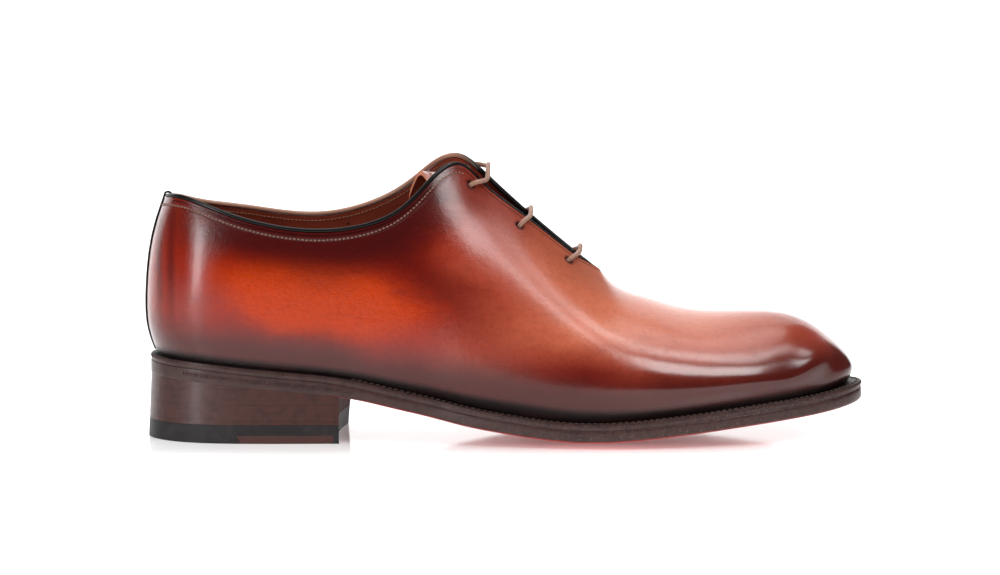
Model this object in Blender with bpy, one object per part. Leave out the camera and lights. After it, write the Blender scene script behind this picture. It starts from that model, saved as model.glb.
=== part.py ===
# Whole cut oxford, a right shoe, in metres with +Z up, the toe to +X and the big toe's side to +Y.
# The frame's origin is on the floor, under the middle of the heel.
# The sections are measured along from the back of the outsole and shifted to the frame once, in shoe_point.
from math import cos, pi, sin

import bmesh
import bpy
import numpy as np

# Main sizes
LENGTH = 0.300  # outsole, back to tip
BALL_WIDTH = 0.100  # last across the ball, which the shares of width follow
INSTEP_HEIGHT = 0.100  # last from its feather line to the top of the facings
HEEL_HEIGHT = 0.027  # floor to the outsole's underside at the back of the seat
TOE_SPRING = 0.0148  # floor to the outsole's underside at the tip
FOREPART_CROWN = 0.0026  # how far the edge of the tread rises at the ball
HEEL_CENTRE = 0.030  # back of the outsole to the frame's origin

# Sheet and bottom sizes
WALL = 0.0019  # upper with its lining
OUTSOLE_THICKNESS = 0.0051
WELT_THICKNESS = 0.0026
WELT_MARGIN = 0.0075  # how far the welt reaches in under the insole from the feather line
LIP_HEEL = 0.0027  # welt beyond the feather line
LIP_FOREPART = 0.0045
LIP_TOE = 0.0061
INSOLE_THICKNESS = 0.0025  # above the welt
INSOLE_INSET = 0.0030  # feather line to the insole's edge
LIFT_THICKNESS = 0.0077
LIFT_LAYER = 0.0040  # rubber above the leather insert
LIFT_SPLIT = 0.0380  # back of the heel to the leather insert
LIFT_SLANT = 0.0020  # how far the joint leans forward from its top to the floor
BREAST_LATERAL = 0.0810  # back of the outsole to the heel's breast
BREAST_MEDIAL = 0.0846
BREAST_RAKE = 0.0021  # how far the medial end of the breast steps back towards the floor
BREAST_HOLLOW = 0.0025
HEEL_INSET = 0.0002
HEEL_FLARE = 0.0013  # how far the heel spreads from the sole to the floor
LIFT_FRONT_WALL = 0.0020  # rubber left in front of the insert
TONGUE_THICKNESS = 0.0018
LACE_DIAMETER = 0.0020
LACE_HOLE_DIAMETER = 0.0034
LACE_ROOM = 0.0040  # between the facing and the tongue
BINDING_HEIGHT = 0.0019
BINDING_WIDTH = 0.0021
BINDING_END = 0.0007  # its least height, at the throat
BACK_STRIP_WIDTH = 0.0018
BACK_STRIP_THICKNESS = 0.0008
BACK_STRIP_TAIL = 0.0070  # strip that shows inside the collar
FIT = 0.0003  # clearance between pieces

# Lacing
EYELET_PLACES = (0.1357, 0.1562, 0.1769)  # holes, from the back of the outsole
BAR_LEADS = (0.0052, 0.0036, 0.0032)  # how far ahead of its hole a bar crosses the facing's edge
BAR_ARCHES = (0.0030, 0.0010, 0.0018)  # slack in the middle of each bar
EYELET_INSET = 0.0068  # edge of the facing to the middle of a hole

# The last. Columns are shares: along of LENGTH, widths and outs of BALL_WIDTH, ups of INSTEP_HEIGHT.
# feather is half the width at the bottom edge, wall_out and wall_up place the fullest point from it,
# shoulder is the point halfway up the side, and top is the edge of the collar or facing, or the ridge.
COLUMNS = ("along", "feather", "wall_out", "wall_up",
           "shoulder_along", "shoulder", "shoulder_up", "top_along", "top", "top_up")
LATERAL = (
    (0.020, 0.135, 0.028, 0.21, 0.017, 0.142, 0.45, 0.035, 0.125, 0.662),
    (0.063, 0.260, 0.030, 0.22, 0.063, 0.276, 0.44, 0.067, 0.205, 0.654),
    (0.140, 0.306, 0.030, 0.22, 0.140, 0.328, 0.43, 0.140, 0.282, 0.604),
    (0.240, 0.304, 0.036, 0.23, 0.242, 0.334, 0.44, 0.243, 0.304, 0.589),
    (0.333, 0.302, 0.044, 0.25, 0.337, 0.334, 0.50, 0.343, 0.282, 0.702),
    (0.397, 0.320, 0.052, 0.25, 0.398, 0.336, 0.57, 0.400, 0.208, 0.892),
    (0.437, 0.354, 0.050, 0.24, 0.437, 0.338, 0.58, 0.438, 0.120, 0.976),
    (0.477, 0.390, 0.046, 0.22, 0.473, 0.346, 0.56, 0.473, 0.090, 0.908),
    (0.537, 0.436, 0.044, 0.205, 0.533, 0.370, 0.505, 0.528, 0.082, 0.807),
    (0.592, 0.466, 0.040, 0.191, 0.588, 0.389, 0.441, 0.592, 0.064, 0.673),
    (0.621, 0.479, 0.039, 0.184, 0.616, 0.391, 0.407, 0.614, 0.042, 0.631),
    (0.654, 0.486, 0.037, 0.175, 0.649, 0.388, 0.370, 0.634, 0.015, 0.595),
    (0.708, 0.474, 0.031, 0.157, 0.704, 0.368, 0.323, 0.697, -0.015, 0.463),
    (0.773, 0.434, 0.026, 0.14, 0.775, 0.312, 0.284, 0.767, -0.028, 0.387),
    (0.847, 0.363, 0.020, 0.126, 0.852, 0.241, 0.256, 0.857, -0.030, 0.353),
    (0.900, 0.284, 0.018, 0.120, 0.907, 0.174, 0.242, 0.913, -0.030, 0.310),
    (0.937, 0.208, 0.014, 0.145, 0.950, 0.105, 0.204, 0.955, -0.030, 0.222),
)
MEDIAL = (
    (0.020, 0.135, 0.028, 0.21, 0.017, 0.142, 0.45, 0.035, 0.120, 0.646),
    (0.063, 0.260, 0.030, 0.22, 0.063, 0.276, 0.44, 0.067, 0.205, 0.628),
    (0.140, 0.304, 0.030, 0.22, 0.140, 0.328, 0.43, 0.140, 0.282, 0.615),
    (0.240, 0.284, 0.046, 0.24, 0.242, 0.334, 0.46, 0.243, 0.304, 0.618),
    (0.333, 0.254, 0.066, 0.27, 0.337, 0.326, 0.56, 0.343, 0.270, 0.764),
    (0.397, 0.252, 0.076, 0.27, 0.398, 0.312, 0.63, 0.400, 0.175, 0.936),
    (0.437, 0.264, 0.078, 0.265, 0.437, 0.306, 0.65, 0.438, 0.085, 1.004),
    (0.477, 0.288, 0.080, 0.26, 0.475, 0.306, 0.62, 0.473, 0.020, 0.958),
    (0.537, 0.334, 0.074, 0.24, 0.530, 0.316, 0.55, 0.528, 0.020, 0.837),
    (0.592, 0.395, 0.059, 0.213, 0.588, 0.336, 0.472, 0.592, 0.012, 0.693),
    (0.621, 0.422, 0.052, 0.198, 0.616, 0.347, 0.431, 0.614, -0.002, 0.642),
    (0.654, 0.445, 0.044, 0.181, 0.649, 0.356, 0.384, 0.634, -0.015, 0.595),
    (0.708, 0.466, 0.033, 0.157, 0.704, 0.355, 0.327, 0.697, 0.015, 0.463),
    (0.773, 0.460, 0.026, 0.14, 0.775, 0.334, 0.286, 0.767, 0.028, 0.387),
    (0.847, 0.406, 0.020, 0.126, 0.852, 0.282, 0.256, 0.857, 0.030, 0.353),
    (0.900, 0.332, 0.018, 0.120, 0.907, 0.220, 0.242, 0.913, 0.030, 0.310),
    (0.937, 0.256, 0.014, 0.145, 0.950, 0.160, 0.204, 0.955, 0.030, 0.222),
)
BACK = {"along": 0.0100, "wall_out": 0.042, "wall_up": 0.22,
        "shoulder_along": 0.0030, "shoulder_up": 0.455, "top_along": 0.0220, "top_up": 0.652}
# The toe's front, lateral to medial: columns along, side, low_along, low_side, low_up
FRONT = (
    (0.9687, -0.110, 0.9740, -0.112, 0.086),
    (0.9843, 0.025, 0.9897, 0.025, 0.085),
    (0.9693, 0.165, 0.9747, 0.168, 0.088),
)
LOW_OUT = 0.72  # the low point's share of the way from the feather line to the fullest point
LOW_UP = 0.40
FIRST_CLOSED = 12  # the row where the throat ends and both sides meet

# The outsole's underside along the middle: columns along, rise as a share of HEEL_HEIGHT or TOE_SPRING
SEAT_AND_WAIST = (
    (0.000, 1.000), (0.077, 0.937), (0.133, 0.874), (0.217, 0.785), (0.273, 0.711), (0.313, 0.622),
    (0.353, 0.519), (0.397, 0.415), (0.437, 0.311), (0.493, 0.181), (0.533, 0.093), (0.570, 0.030),
    (0.600, 0.000),
)
FOREPART = (
    (0.640, 0.000), (0.683, 0.061), (0.713, 0.128), (0.767, 0.264), (0.823, 0.426),
    (0.880, 0.588), (0.940, 0.764), (1.000, 1.000),
)

SUBDIVISIONS = 2
INNER_WALL_FACETS = 0.60  # share of the upper's facets kept, all the loss on the hidden face
SIDES = {"lateral": -1.0, "medial": 1.0}


def spline(knots, values, x):
    """Natural cubic through the knots, read at x."""
    knots, values = np.asarray(knots, float), np.asarray(values, float)
    x = np.clip(x, knots[0], knots[-1])
    step = np.diff(knots)
    slope = np.diff(values) / step
    system = np.eye(len(knots))
    target = np.zeros(len(knots))
    for i in range(1, len(knots) - 1):
        system[i, i - 1 : i + 2] = step[i - 1], 2 * (step[i - 1] + step[i]), step[i]
        target[i] = 6 * (slope[i] - slope[i - 1])
    bend = np.linalg.solve(system, target)
    i = np.clip(np.searchsorted(knots, x, side="right") - 1, 0, len(step) - 1)
    a, b = knots[i + 1] - x, x - knots[i]
    curved = (bend[i] * a**3 + bend[i + 1] * b**3) / (6 * step[i])
    near = (values[i] / step[i] - bend[i] * step[i] / 6) * a
    far = (values[i + 1] / step[i] - bend[i + 1] * step[i] / 6) * b
    return curved + near + far


def ramp(x, low, high):
    """Smooth step from 0 at low to 1 at high."""
    t = np.clip((x - low) / (high - low), 0.0, 1.0)
    return t * t * (3 - 2 * t)


def underside(x, y):
    """Height of the outsole's underside above the floor."""
    rear_along, rear_rise = zip(*SEAT_AND_WAIST)
    fore_along, fore_rise = zip(*FOREPART)
    rear = np.maximum(spline(rear_along, rear_rise, x / LENGTH), 0.0) * HEEL_HEIGHT
    fore = np.maximum(spline(fore_along, fore_rise, x / LENGTH), 0.0) * TOE_SPRING
    flat = 0.11 * BALL_WIDTH
    edge = 0.52 * BALL_WIDTH
    rise = np.maximum(np.abs(y) - flat, 0.0) / (edge - flat)
    return rear + fore + FOREPART_CROWN * rise**2 * ramp(x / LENGTH, 0.40, 0.58)


def welt_bottom(x, y):
    return underside(x, y) + OUTSOLE_THICKNESS + FIT


def welt_top(x, y):
    return welt_bottom(x, y) + WELT_THICKNESS


def feather_height(x, y):
    return welt_top(x, y) + FIT


def lip(x, y):
    """Width of the welt beyond the feather line."""
    start, end = (0.24, 0.50) if y < 0 else (0.33, 0.62)
    fore = (LIP_FOREPART - LIP_HEEL) * ramp(x / LENGTH, start, end)
    toe = (LIP_TOE - LIP_FOREPART) * ramp(x / LENGTH, 0.90, 0.98)
    return LIP_HEEL + fore + toe


def section_points(row, side, outward):
    """The five points of one section, from the feather line to the top."""
    cell = dict(zip(COLUMNS, row))
    x = cell["along"] * LENGTH
    y = SIDES[side] * cell["feather"] * BALL_WIDTH
    z = feather_height(x, y)
    feather = np.array((x, y, z))
    out = np.array((*outward, 0.0)) * cell["wall_out"] * BALL_WIDTH
    up = np.array((0.0, 0.0, cell["wall_up"] * INSTEP_HEIGHT))
    low = feather + LOW_OUT * out + LOW_UP * up
    wall = feather + out + up
    shoulder = np.array((cell["shoulder_along"] * LENGTH, SIDES[side] * cell["shoulder"] * BALL_WIDTH,
                         z + cell["shoulder_up"] * INSTEP_HEIGHT))
    top = np.array((cell["top_along"] * LENGTH, SIDES[side] * cell["top"] * BALL_WIDTH,
                    z + cell["top_up"] * INSTEP_HEIGHT))
    return [feather, low, wall, shoulder, top]


def feather_normals(points):
    """Outward directions in plan of a closed line of points that runs lateral side first."""
    ahead = np.roll(points, -1, axis=0) - np.roll(points, 1, axis=0)
    normal = np.stack([ahead[:, 1], -ahead[:, 0]], axis=1)
    return normal / np.linalg.norm(normal, axis=1)[:, None]


def feather_plan():
    """Feather line's control places in plan, closed: back, lateral side, toe front, medial side."""
    plan = [(BACK["along"] * LENGTH, 0.0)]
    plan += [(row[0] * LENGTH, -row[1] * BALL_WIDTH) for row in LATERAL]
    plan += [(row[0] * LENGTH, row[1] * BALL_WIDTH) for row in FRONT]
    plan += [(row[0] * LENGTH, row[1] * BALL_WIDTH) for row in reversed(MEDIAL)]
    return np.array(plan)


def last_cage():
    """Points that the upper passes through, and its four-sided faces."""
    plan = feather_plan()
    normals = feather_normals(plan)
    points, faces = [], []
    index = {}

    def keep(key, point):
        index[key] = len(points)
        points.append(point)

    back_x = BACK["along"] * LENGTH
    back_z = feather_height(back_x, 0.0)
    wall = np.array((back_x - BACK["wall_out"] * BALL_WIDTH, 0.0, back_z + BACK["wall_up"] * INSTEP_HEIGHT))
    feather = np.array((back_x, 0.0, back_z))
    low = feather + np.array((LOW_OUT, 0.0, LOW_UP)) * (wall - feather)
    shoulder_z, top_z = (back_z + BACK[name] * INSTEP_HEIGHT for name in ("shoulder_up", "top_up"))
    shoulder = np.array((BACK["shoulder_along"] * LENGTH, 0.0, shoulder_z))
    top = np.array((BACK["top_along"] * LENGTH, 0.0, top_z))
    for level, point in enumerate((feather, low, wall, shoulder, top)):
        keep((0, level), point)
    count = len(LATERAL)
    for row in range(count):
        near = section_points(LATERAL[row], "lateral", normals[1 + row])
        far = section_points(MEDIAL[row], "medial", normals[-1 - row])
        shared = row + 1 >= FIRST_CLOSED
        for level in range(5):
            if level == 4 and shared:
                keep((row + 1, 4), (near[4] + far[4]) / 2)
                index[(-row - 1, 4)] = index[(row + 1, 4)]
            else:
                keep((row + 1, level), near[level])
                keep((-row - 1, level), far[level])
    for place, (along, side, low_along, low_side, low_up) in enumerate(FRONT):
        x, y = along * LENGTH, side * BALL_WIDTH
        z = feather_height(x, y)
        keep(("front", place, 0), np.array((x, y, z)))
        low = (low_along * LENGTH, low_side * BALL_WIDTH, z + low_up * INSTEP_HEIGHT)
        keep(("front", place, 1), np.array(low))

    for row in range(count):
        for level in range(4):
            up = level + 1
            near = [(row, level), (row + 1, level), (row + 1, up), (row, up)]
            far = [(-row, level), (-row - 1, level), (-row - 1, up), (-row, up)]
            faces.append([index[key] for key in near])
            faces.append([index[key] for key in reversed(far)])
    toe = [[index[(count, level)] for level in range(3)]]
    toe += [[index[("front", place, 0)], index[("front", place, 1)], index[key]]
            for place, key in enumerate(((count, 3), (count, 4), (-count, 3)))]
    toe += [[index[(-count, level)] for level in range(3)]]
    for left, right in zip(toe, toe[1:]):
        for level in range(2):
            faces.append([left[level], right[level], right[level + 1], left[level + 1]])
    return np.array(points), faces, index


def limit_rules(count, faces):
    """Matrix that takes the cage's points to their places on the subdivided surface."""
    edge_faces = {}
    around = [[] for _ in range(count)]
    for face in faces:
        for i, corner in enumerate(face):
            ahead, across, behind = (face[(i + k) % 4] for k in (1, 2, 3))
            around[corner].append((ahead, across, behind))
            edge_faces.setdefault(frozenset((corner, ahead)), []).append(corner)
    border = {edge for edge, users in edge_faces.items() if len(users) == 1}
    matrix = np.zeros((count, count))
    for corner, ring in enumerate(around):
        sides = {other for edge in border if corner in edge for other in edge if other != corner}
        if sides:
            matrix[corner, corner] = 4 / 6
            for other in sides:
                matrix[corner, other] += 1 / 6
            continue
        valence = len(ring)
        whole = valence * (valence + 5)
        matrix[corner, corner] = valence * valence / whole
        for ahead, across, behind in ring:
            matrix[corner, ahead] += 2 / whole
            matrix[corner, behind] += 2 / whole
            matrix[corner, across] += 1 / whole
    return matrix


class Upper:
    """The upper's outer face: its cage, and places on it by row and level."""

    def __init__(self):
        points, self.faces, self.index = last_cage()
        self.cage = np.linalg.solve(limit_rules(len(points), self.faces), points)
        self.rows = len(LATERAL)

    def column(self, row, side):
        """Six points of a section's cage, one more beyond the top, for smooth reading."""
        sign = 1 if side == "lateral" else -1
        points = [self.cage[self.index[(sign * row, level)]] for level in range(5)]
        if row >= FIRST_CLOSED:
            beyond = self.cage[self.index[(-sign * row, 3)]]
        else:
            beyond = 2 * points[4] - points[3]
        return np.array([2 * points[0] - points[1]] + points + [beyond])

    def read(self, row, level, side):
        """Place, direction along, direction up and outward normal at a fractional row and level."""
        first = int(min(np.floor(row), self.rows - 2))
        columns = []
        for k in range(first - 1, first + 3):
            other = {"lateral": "medial", "medial": "lateral"}[side]
            columns.append(self.column(-k, other) if k < 0 else self.column(k, side))
        step = int(min(np.floor(level), 3))
        block = np.array(columns)[:, step : step + 4]
        along, along_slope = basis(row - first)
        up, up_slope = basis(level - step)
        place = np.einsum("i,ijk,j->k", along, block, up)
        d_along = np.einsum("i,ijk,j->k", along_slope, block, up)
        d_up = np.einsum("i,ijk,j->k", along, block, up_slope)
        normal = np.cross(d_along, d_up) * (1 if side == "lateral" else -1)
        return place, unit(d_along), unit(d_up), unit(normal)

    def row_at(self, x, level, side):
        """Fractional row where the given level has the given distance along."""
        low, high = 0.0, float(FIRST_CLOSED + 4)
        for _ in range(40):
            middle = (low + high) / 2
            if self.read(middle, level, side)[0][0] < x:
                low = middle
            else:
                high = middle
        return (low + high) / 2

    def feather_line(self, samples):
        """Closed line round the bottom edge: back, lateral side, toe, medial side."""
        keys = [(row, 0) for row in range(self.rows + 1)]
        keys += [("front", place, 0) for place in range(3)]
        keys += [(-row, 0) for row in range(self.rows, 0, -1)]
        return closed_curve(np.array([self.cage[self.index[key]] for key in keys]), samples)

    def rim(self, samples):
        """Closed line of collar and facings with its directions, from the back round the lateral side."""
        keys = [(row, 4) for row in range(FIRST_CLOSED + 1)]
        keys += [(-row, 4) for row in range(FIRST_CLOSED - 1, 0, -1)]
        edge, across = [], []
        for row, level in keys:
            point = self.cage[self.index[(row, level)]]
            below = (FIRST_CLOSED + 1, 4) if row == FIRST_CLOSED else (row, 3)
            edge.append(point)
            across.append(point - self.cage[self.index[below]])
        line, ahead = closed_curve(np.array(edge), samples, slopes=True)
        across = closed_curve(np.array(across), samples)
        ahead = unit(ahead)
        across = unit(across - np.sum(across * ahead, axis=1)[:, None] * ahead)
        return line, ahead, across, unit(np.cross(ahead, across))


def basis(t):
    """Uniform cubic weights and their slopes."""
    weights = np.array(((1 - t) ** 3, 3 * t**3 - 6 * t**2 + 4, -3 * t**3 + 3 * t**2 + 3 * t + 1, t**3)) / 6
    slopes = np.array((-((1 - t) ** 2), 3 * t**2 - 4 * t, -3 * t**2 + 2 * t + 1, t**2)) / 2
    return weights, slopes


def unit(vector):
    return vector / np.linalg.norm(vector, axis=-1, keepdims=True)


def closed_curve(control, samples, slopes=False):
    """Closed uniform cubic through its control points' neighbourhood, samples to a span."""
    places, directions = [], []
    for k in range(len(control)):
        block = control[[(k + i) % len(control) for i in (-1, 0, 1, 2)]]
        for s in range(samples):
            weights, slope = basis(s / samples)
            places.append(weights @ block)
            directions.append(slope @ block)
    if slopes:
        return np.array(places), np.array(directions)
    return np.array(places)


def shoe_point(point):
    """From the last's measure along the sole to the frame."""
    return (point[0] - HEEL_CENTRE, point[1], point[2])


def material(name, colour, roughness, metallic=0.0):
    item = bpy.data.materials.new(name)
    item.use_nodes = True
    shader = item.node_tree.nodes["Principled BSDF"]
    shader.inputs["Base Color"].default_value = (*colour, 1.0)
    shader.inputs["Roughness"].default_value = roughness
    shader.inputs["Metallic"].default_value = metallic
    return item


def mesh_object(name, points, faces, paint, sharp_angle=35):
    mesh = bpy.data.meshes.new(name)
    mesh.from_pydata([shoe_point(point) for point in points], [], [list(face) for face in faces])
    body = bmesh.new()
    body.from_mesh(mesh)
    bmesh.ops.recalc_face_normals(body, faces=body.faces)
    body.to_mesh(mesh)
    body.free()
    mesh.materials.append(paint)
    mesh.shade_smooth()
    mesh.set_sharp_from_angle(angle=sharp_angle * pi / 180)
    item = bpy.data.objects.new(name, mesh)
    bpy.context.scene.collection.objects.link(item)
    return item


def add_subdivision(item):
    finish = item.modifiers.new("smooth form", "SUBSURF")
    finish.levels = SUBDIVISIONS
    finish.render_levels = SUBDIVISIONS
    return finish


def add_thickness(item, thickness, offset=-1.0):
    wall = item.modifiers.new("wall", "SOLIDIFY")
    wall.thickness = thickness
    wall.offset = offset
    return wall


def loop_solid(name, rings, paint, closed=True):
    """Solid swept through rings of points, joined end to start or capped."""
    count = len(rings[0])
    points = [point for ring in rings for point in ring]
    faces = []
    last = len(rings) if closed else len(rings) - 1
    for r in range(last):
        here, there = r * count, ((r + 1) % len(rings)) * count
        for i in range(count):
            j = (i + 1) % count
            faces.append((here + i, here + j, there + j, there + i))
    if not closed:
        faces.append(tuple(range(count)))
        faces.append(tuple(reversed(range(last * count, (last + 1) * count))))
    return mesh_object(name, points, faces, paint)


def offset_plan(line, distance):
    """Closed line moved outward in plan by a distance, or by one distance for each point."""
    normal = feather_normals(line)
    return line[:, :2] + normal * np.reshape(distance, (-1, 1))


def plate(name, layers, across, paint):
    """Solid between closed outlines, from the bottom up. A layer is a plan outline and a height function."""
    half = len(layers[0][0]) // 2
    points, faces = [], []

    def spread(outline):
        rows = [[outline[0]]]
        lateral, medial = outline[1 : half], outline[: half : -1]
        for near, far in zip(lateral, medial):
            rows.append([near + (far - near) * t for t in across])
        rows.append([outline[half]])
        return rows

    def grid(outline, height):
        rows = spread(outline)
        base = len(points)
        index = []
        for row in rows:
            index.append([])
            for x, y in row:
                index[-1].append(len(points))
                points.append((x, y, float(height(x, y))))
        return index

    def border(index):
        near = [row[0] for row in index]
        far = [row[-1] for row in index[-2:0:-1]]
        return near + far

    def rim(outline, height):
        start = len(points)
        points.extend((x, y, float(height(x, y))) for x, y in outline)
        return list(range(start, len(points)))

    def fill(index):
        for a, b in zip(index, index[1:]):
            if len(a) == 1:
                faces.extend((a[0], b[i], b[i + 1]) for i in range(len(b) - 1))
            elif len(b) == 1:
                faces.extend((a[i + 1], a[i], b[0]) for i in range(len(a) - 1))
            else:
                faces.extend((a[i], b[i], b[i + 1], a[i + 1]) for i in range(len(a) - 1))

    bottom = grid(*layers[0])
    top = grid(*layers[-1])
    fill(bottom)
    fill(top)
    borders = [border(bottom)] + [rim(*layer) for layer in layers[1:-1]] + [border(top)]
    for low, high in zip(borders, borders[1:]):
        for i in range(len(low)):
            j = (i + 1) % len(low)
            faces.append((low[i], low[j], high[j], high[i]))
    return mesh_object(name, points, faces, paint)


def heel_outline(outline, rows, rake):
    """Lateral and medial parts of the outsole's outline behind the breast, evenly divided."""
    half = len(outline) // 2
    lateral = outline[: half + 1]
    medial = np.vstack([outline[:1], outline[: half - 1 : -1]])

    def side(points, breast):
        cut = int(np.argmax(points[:, 0] > breast))
        a, b = points[cut - 1], points[cut]
        end = a + (b - a) * (breast - a[0]) / (b[0] - a[0])
        run = np.vstack([points[:cut], end])
        length = np.concatenate([[0.0], np.cumsum(np.linalg.norm(np.diff(run, axis=0), axis=1))])
        places = np.linspace(0.0, length[-1], rows + 1)
        return np.stack([np.interp(places, length, run[:, k]) for k in (0, 1)], axis=1)

    return side(lateral, BREAST_LATERAL), side(medial, BREAST_MEDIAL - BREAST_RAKE * rake)


def heel_plate(name, bottom, top, across, rows, paint):
    """Solid heel layer. bottom and top each give an outline, a share of the way down and a height function."""
    points, faces = [], []

    def grid(outline, down, height):
        near, far = heel_outline(outline, rows, down)
        index = [[len(points)]]
        x, y = near[0]
        points.append((x, y, float(height(x, y))))
        for row in range(1, rows + 1):
            index.append([])
            for t in across:
                x, y = near[row] + (far[row] - near[row]) * t
                x -= BREAST_HOLLOW * 4 * t * (1 - t) * (row / rows) ** 6
                index[-1].append(len(points))
                points.append((x, y, float(height(x, y))))
        return index

    low, high = grid(*bottom), grid(*top)
    for index in (low, high):
        for a, b in zip(index, index[1:]):
            if len(a) == 1:
                faces.extend((a[0], b[i], b[i + 1]) for i in range(len(b) - 1))
            else:
                faces.extend((a[i], b[i], b[i + 1], a[i + 1]) for i in range(len(a) - 1))

    def border(index):
        return [row[0] for row in index] + index[-1][1:] + [row[-1] for row in index[-2:0:-1]]

    a, b = border(low), border(high)
    for i in range(len(a)):
        j = (i + 1) % len(a)
        faces.append((a[i], a[j], b[j], b[i]))
    return mesh_object(name, points, faces, paint)


def oval(centre, first, second, half_first, half_second, sides):
    angles = [2 * pi * k / sides for k in range(sides)]
    return [centre + first * half_first * cos(a) + second * half_second * sin(a) for a in angles]


def build_upper(last, paint):
    item = mesh_object("upper", last.cage, last.faces, paint, sharp_angle=60)
    add_subdivision(item)
    inner = item.vertex_groups.new(name="inner wall")
    add_thickness(item, WALL).shell_vertex_group = inner.name
    thin = item.modifiers.new("fewer facets inside", "DECIMATE")
    thin.ratio = INNER_WALL_FACETS
    thin.vertex_group = inner.name
    cutter = eyelet_cutter(last, paint)
    hole = item.modifiers.new("lace holes", "BOOLEAN")
    hole.operation = "DIFFERENCE"
    hole.solver = "EXACT"
    hole.object = cutter
    return item


def eyelets(last, side):
    """Row and level of each hole, and the row where its bar crosses the facing's edge."""
    places = []
    for x, lead in zip(EYELET_PLACES, BAR_LEADS):
        edge_row = last.row_at(x + lead, 4.0, side)
        edge = last.read(edge_row, 4.0, side)[0]
        for level in np.linspace(3.95, 3.0, 96):
            row = last.row_at(x, level, side)
            if np.linalg.norm(last.read(row, level, side)[0] - edge) >= EYELET_INSET:
                break
        places.append((row, level, edge_row))
    return places


def eyelet_cutter(last, paint):
    sides, reach = 14, 3 * WALL
    points, faces = [], []
    for side in SIDES:
        for row, level, _ in eyelets(last, side):
            place, along, up, normal = last.read(row, level, side)
            first = unit(np.cross(normal, up))
            second = np.cross(normal, first)
            start = len(points)
            for end in (-reach - WALL, reach):
                radius = LACE_HOLE_DIAMETER / 2
                points.extend(oval(place + normal * end, first, second, radius, radius, sides))
            for i in range(sides):
                j = (i + 1) % sides
                faces.append((start + i, start + j, start + sides + j, start + sides + i))
            faces.append(tuple(range(start, start + sides)))
            faces.append(tuple(range(start + 2 * sides - 1, start + sides - 1, -1)))
    cutter = mesh_object("lace_hole_cutter", points, faces, paint)
    cutter.hide_render = True
    cutter.display_type = "WIRE"
    return cutter


def build_binding(last, paint):
    """Piping on the edge, from the throat round the collar and back, lower where the facings close on it."""
    samples = 3
    line, _, across, normal = last.rim(samples)
    count, tip = len(line), samples * FIRST_CLOSED
    rings = []
    for k in range(1, count):
        here, opposite = (tip + k) % count, (tip - k) % count
        height = BINDING_HEIGHT
        if min(k, count - k) < 4 * samples:
            room = np.linalg.norm(line[here] - line[opposite]) / 2 - 1.5 * FIT
            height = min(height, room)
        if height < BINDING_END:
            continue
        centre = line[here] - normal[here] * WALL / 2 + across[here] * (FIT + height / 2)
        rings.append(oval(centre, normal[here], across[here], BINDING_WIDTH / 2, height / 2, 6))
    return loop_solid("topline_binding", rings, paint, closed=False)


def build_back_strip(last, paint):
    """Piping up the back seam, over the binding and a little way down inside."""
    lift = FIT + BACK_STRIP_THICKNESS / 2
    path = []
    for level in np.linspace(0.12, 3.96, 11):
        place, _, _, normal = last.read(0.0, level, "lateral")
        path.append((place + normal * lift, normal))
    line, ahead, across, normal = last.rim(3)
    centre = line[0] - normal[0] * WALL / 2 + across[0] * (FIT + BINDING_HEIGHT / 2)
    reach = BINDING_WIDTH / 2 + FIT + BACK_STRIP_THICKNESS / 2
    for angle in np.linspace(0.1 * pi, 0.9 * pi, 6):
        out = normal[0] * cos(angle) + across[0] * sin(angle)
        path.append((centre + out * reach, out))
    inner = WALL + FIT + BACK_STRIP_THICKNESS / 2
    for share in (0.35, 1.0):
        path.append((line[0] - normal[0] * inner - across[0] * BACK_STRIP_TAIL * share, -normal[0]))
    wide = np.array((0.0, 1.0, 0.0)) * BACK_STRIP_WIDTH / 2
    rings = []
    for place, out in path:
        thick = out * BACK_STRIP_THICKNESS / 2
        inner, outer = place - thick, place + thick
        rings.append([inner - wide, inner + wide, outer + wide, outer - wide])
    return loop_solid("back_strip", rings, paint, closed=False)


# The tongue. Rows under the facings follow the upper; the free end is placed from the collar by hand.
# Columns are shares: along of LENGTH, side of BALL_WIDTH, height of INSTEP_HEIGHT above the floor.
TONGUE_END = (
    ((0.400, -0.170, 0.985), (0.393, -0.100, 1.060), (0.383, 0.005, 1.105), (0.372, 0.115, 1.060),
     (0.366, 0.175, 0.975)),
    ((0.420, -0.180, 0.975), (0.416, -0.105, 1.055), (0.410, -0.005, 1.105), (0.404, 0.110, 1.070),
     (0.400, 0.175, 0.990)),
)
TONGUE_ROWS = (7.25, 8.0, 9.0, 10.0, 11.5, 12.6)  # rows of the last
TONGUE_LEVELS = (3.30, 3.72)  # outer edge, and the line under the holes
TONGUE_CROWN = 0.0012


def tongue_cage(last):
    depth = WALL + LACE_ROOM + TONGUE_THICKNESS / 2
    scale = np.array((LENGTH, BALL_WIDTH, INSTEP_HEIGHT))
    rows = [[np.array(point) * scale for point in row] for row in TONGUE_END]
    for row in TONGUE_ROWS:
        points = {}
        for side in SIDES:
            for level in (*TONGUE_LEVELS, 4.0):
                place, _, _, normal = last.read(row, level, side)
                points[(side, level)] = place - normal * depth
        middle = (points[("lateral", 4.0)] + points[("medial", 4.0)]) / 2
        middle[2] += TONGUE_CROWN
        rows.append([points[("lateral", TONGUE_LEVELS[0])], points[("lateral", TONGUE_LEVELS[1])], middle,
                     points[("medial", TONGUE_LEVELS[1])], points[("medial", TONGUE_LEVELS[0])]])
    return np.array(rows)


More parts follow.
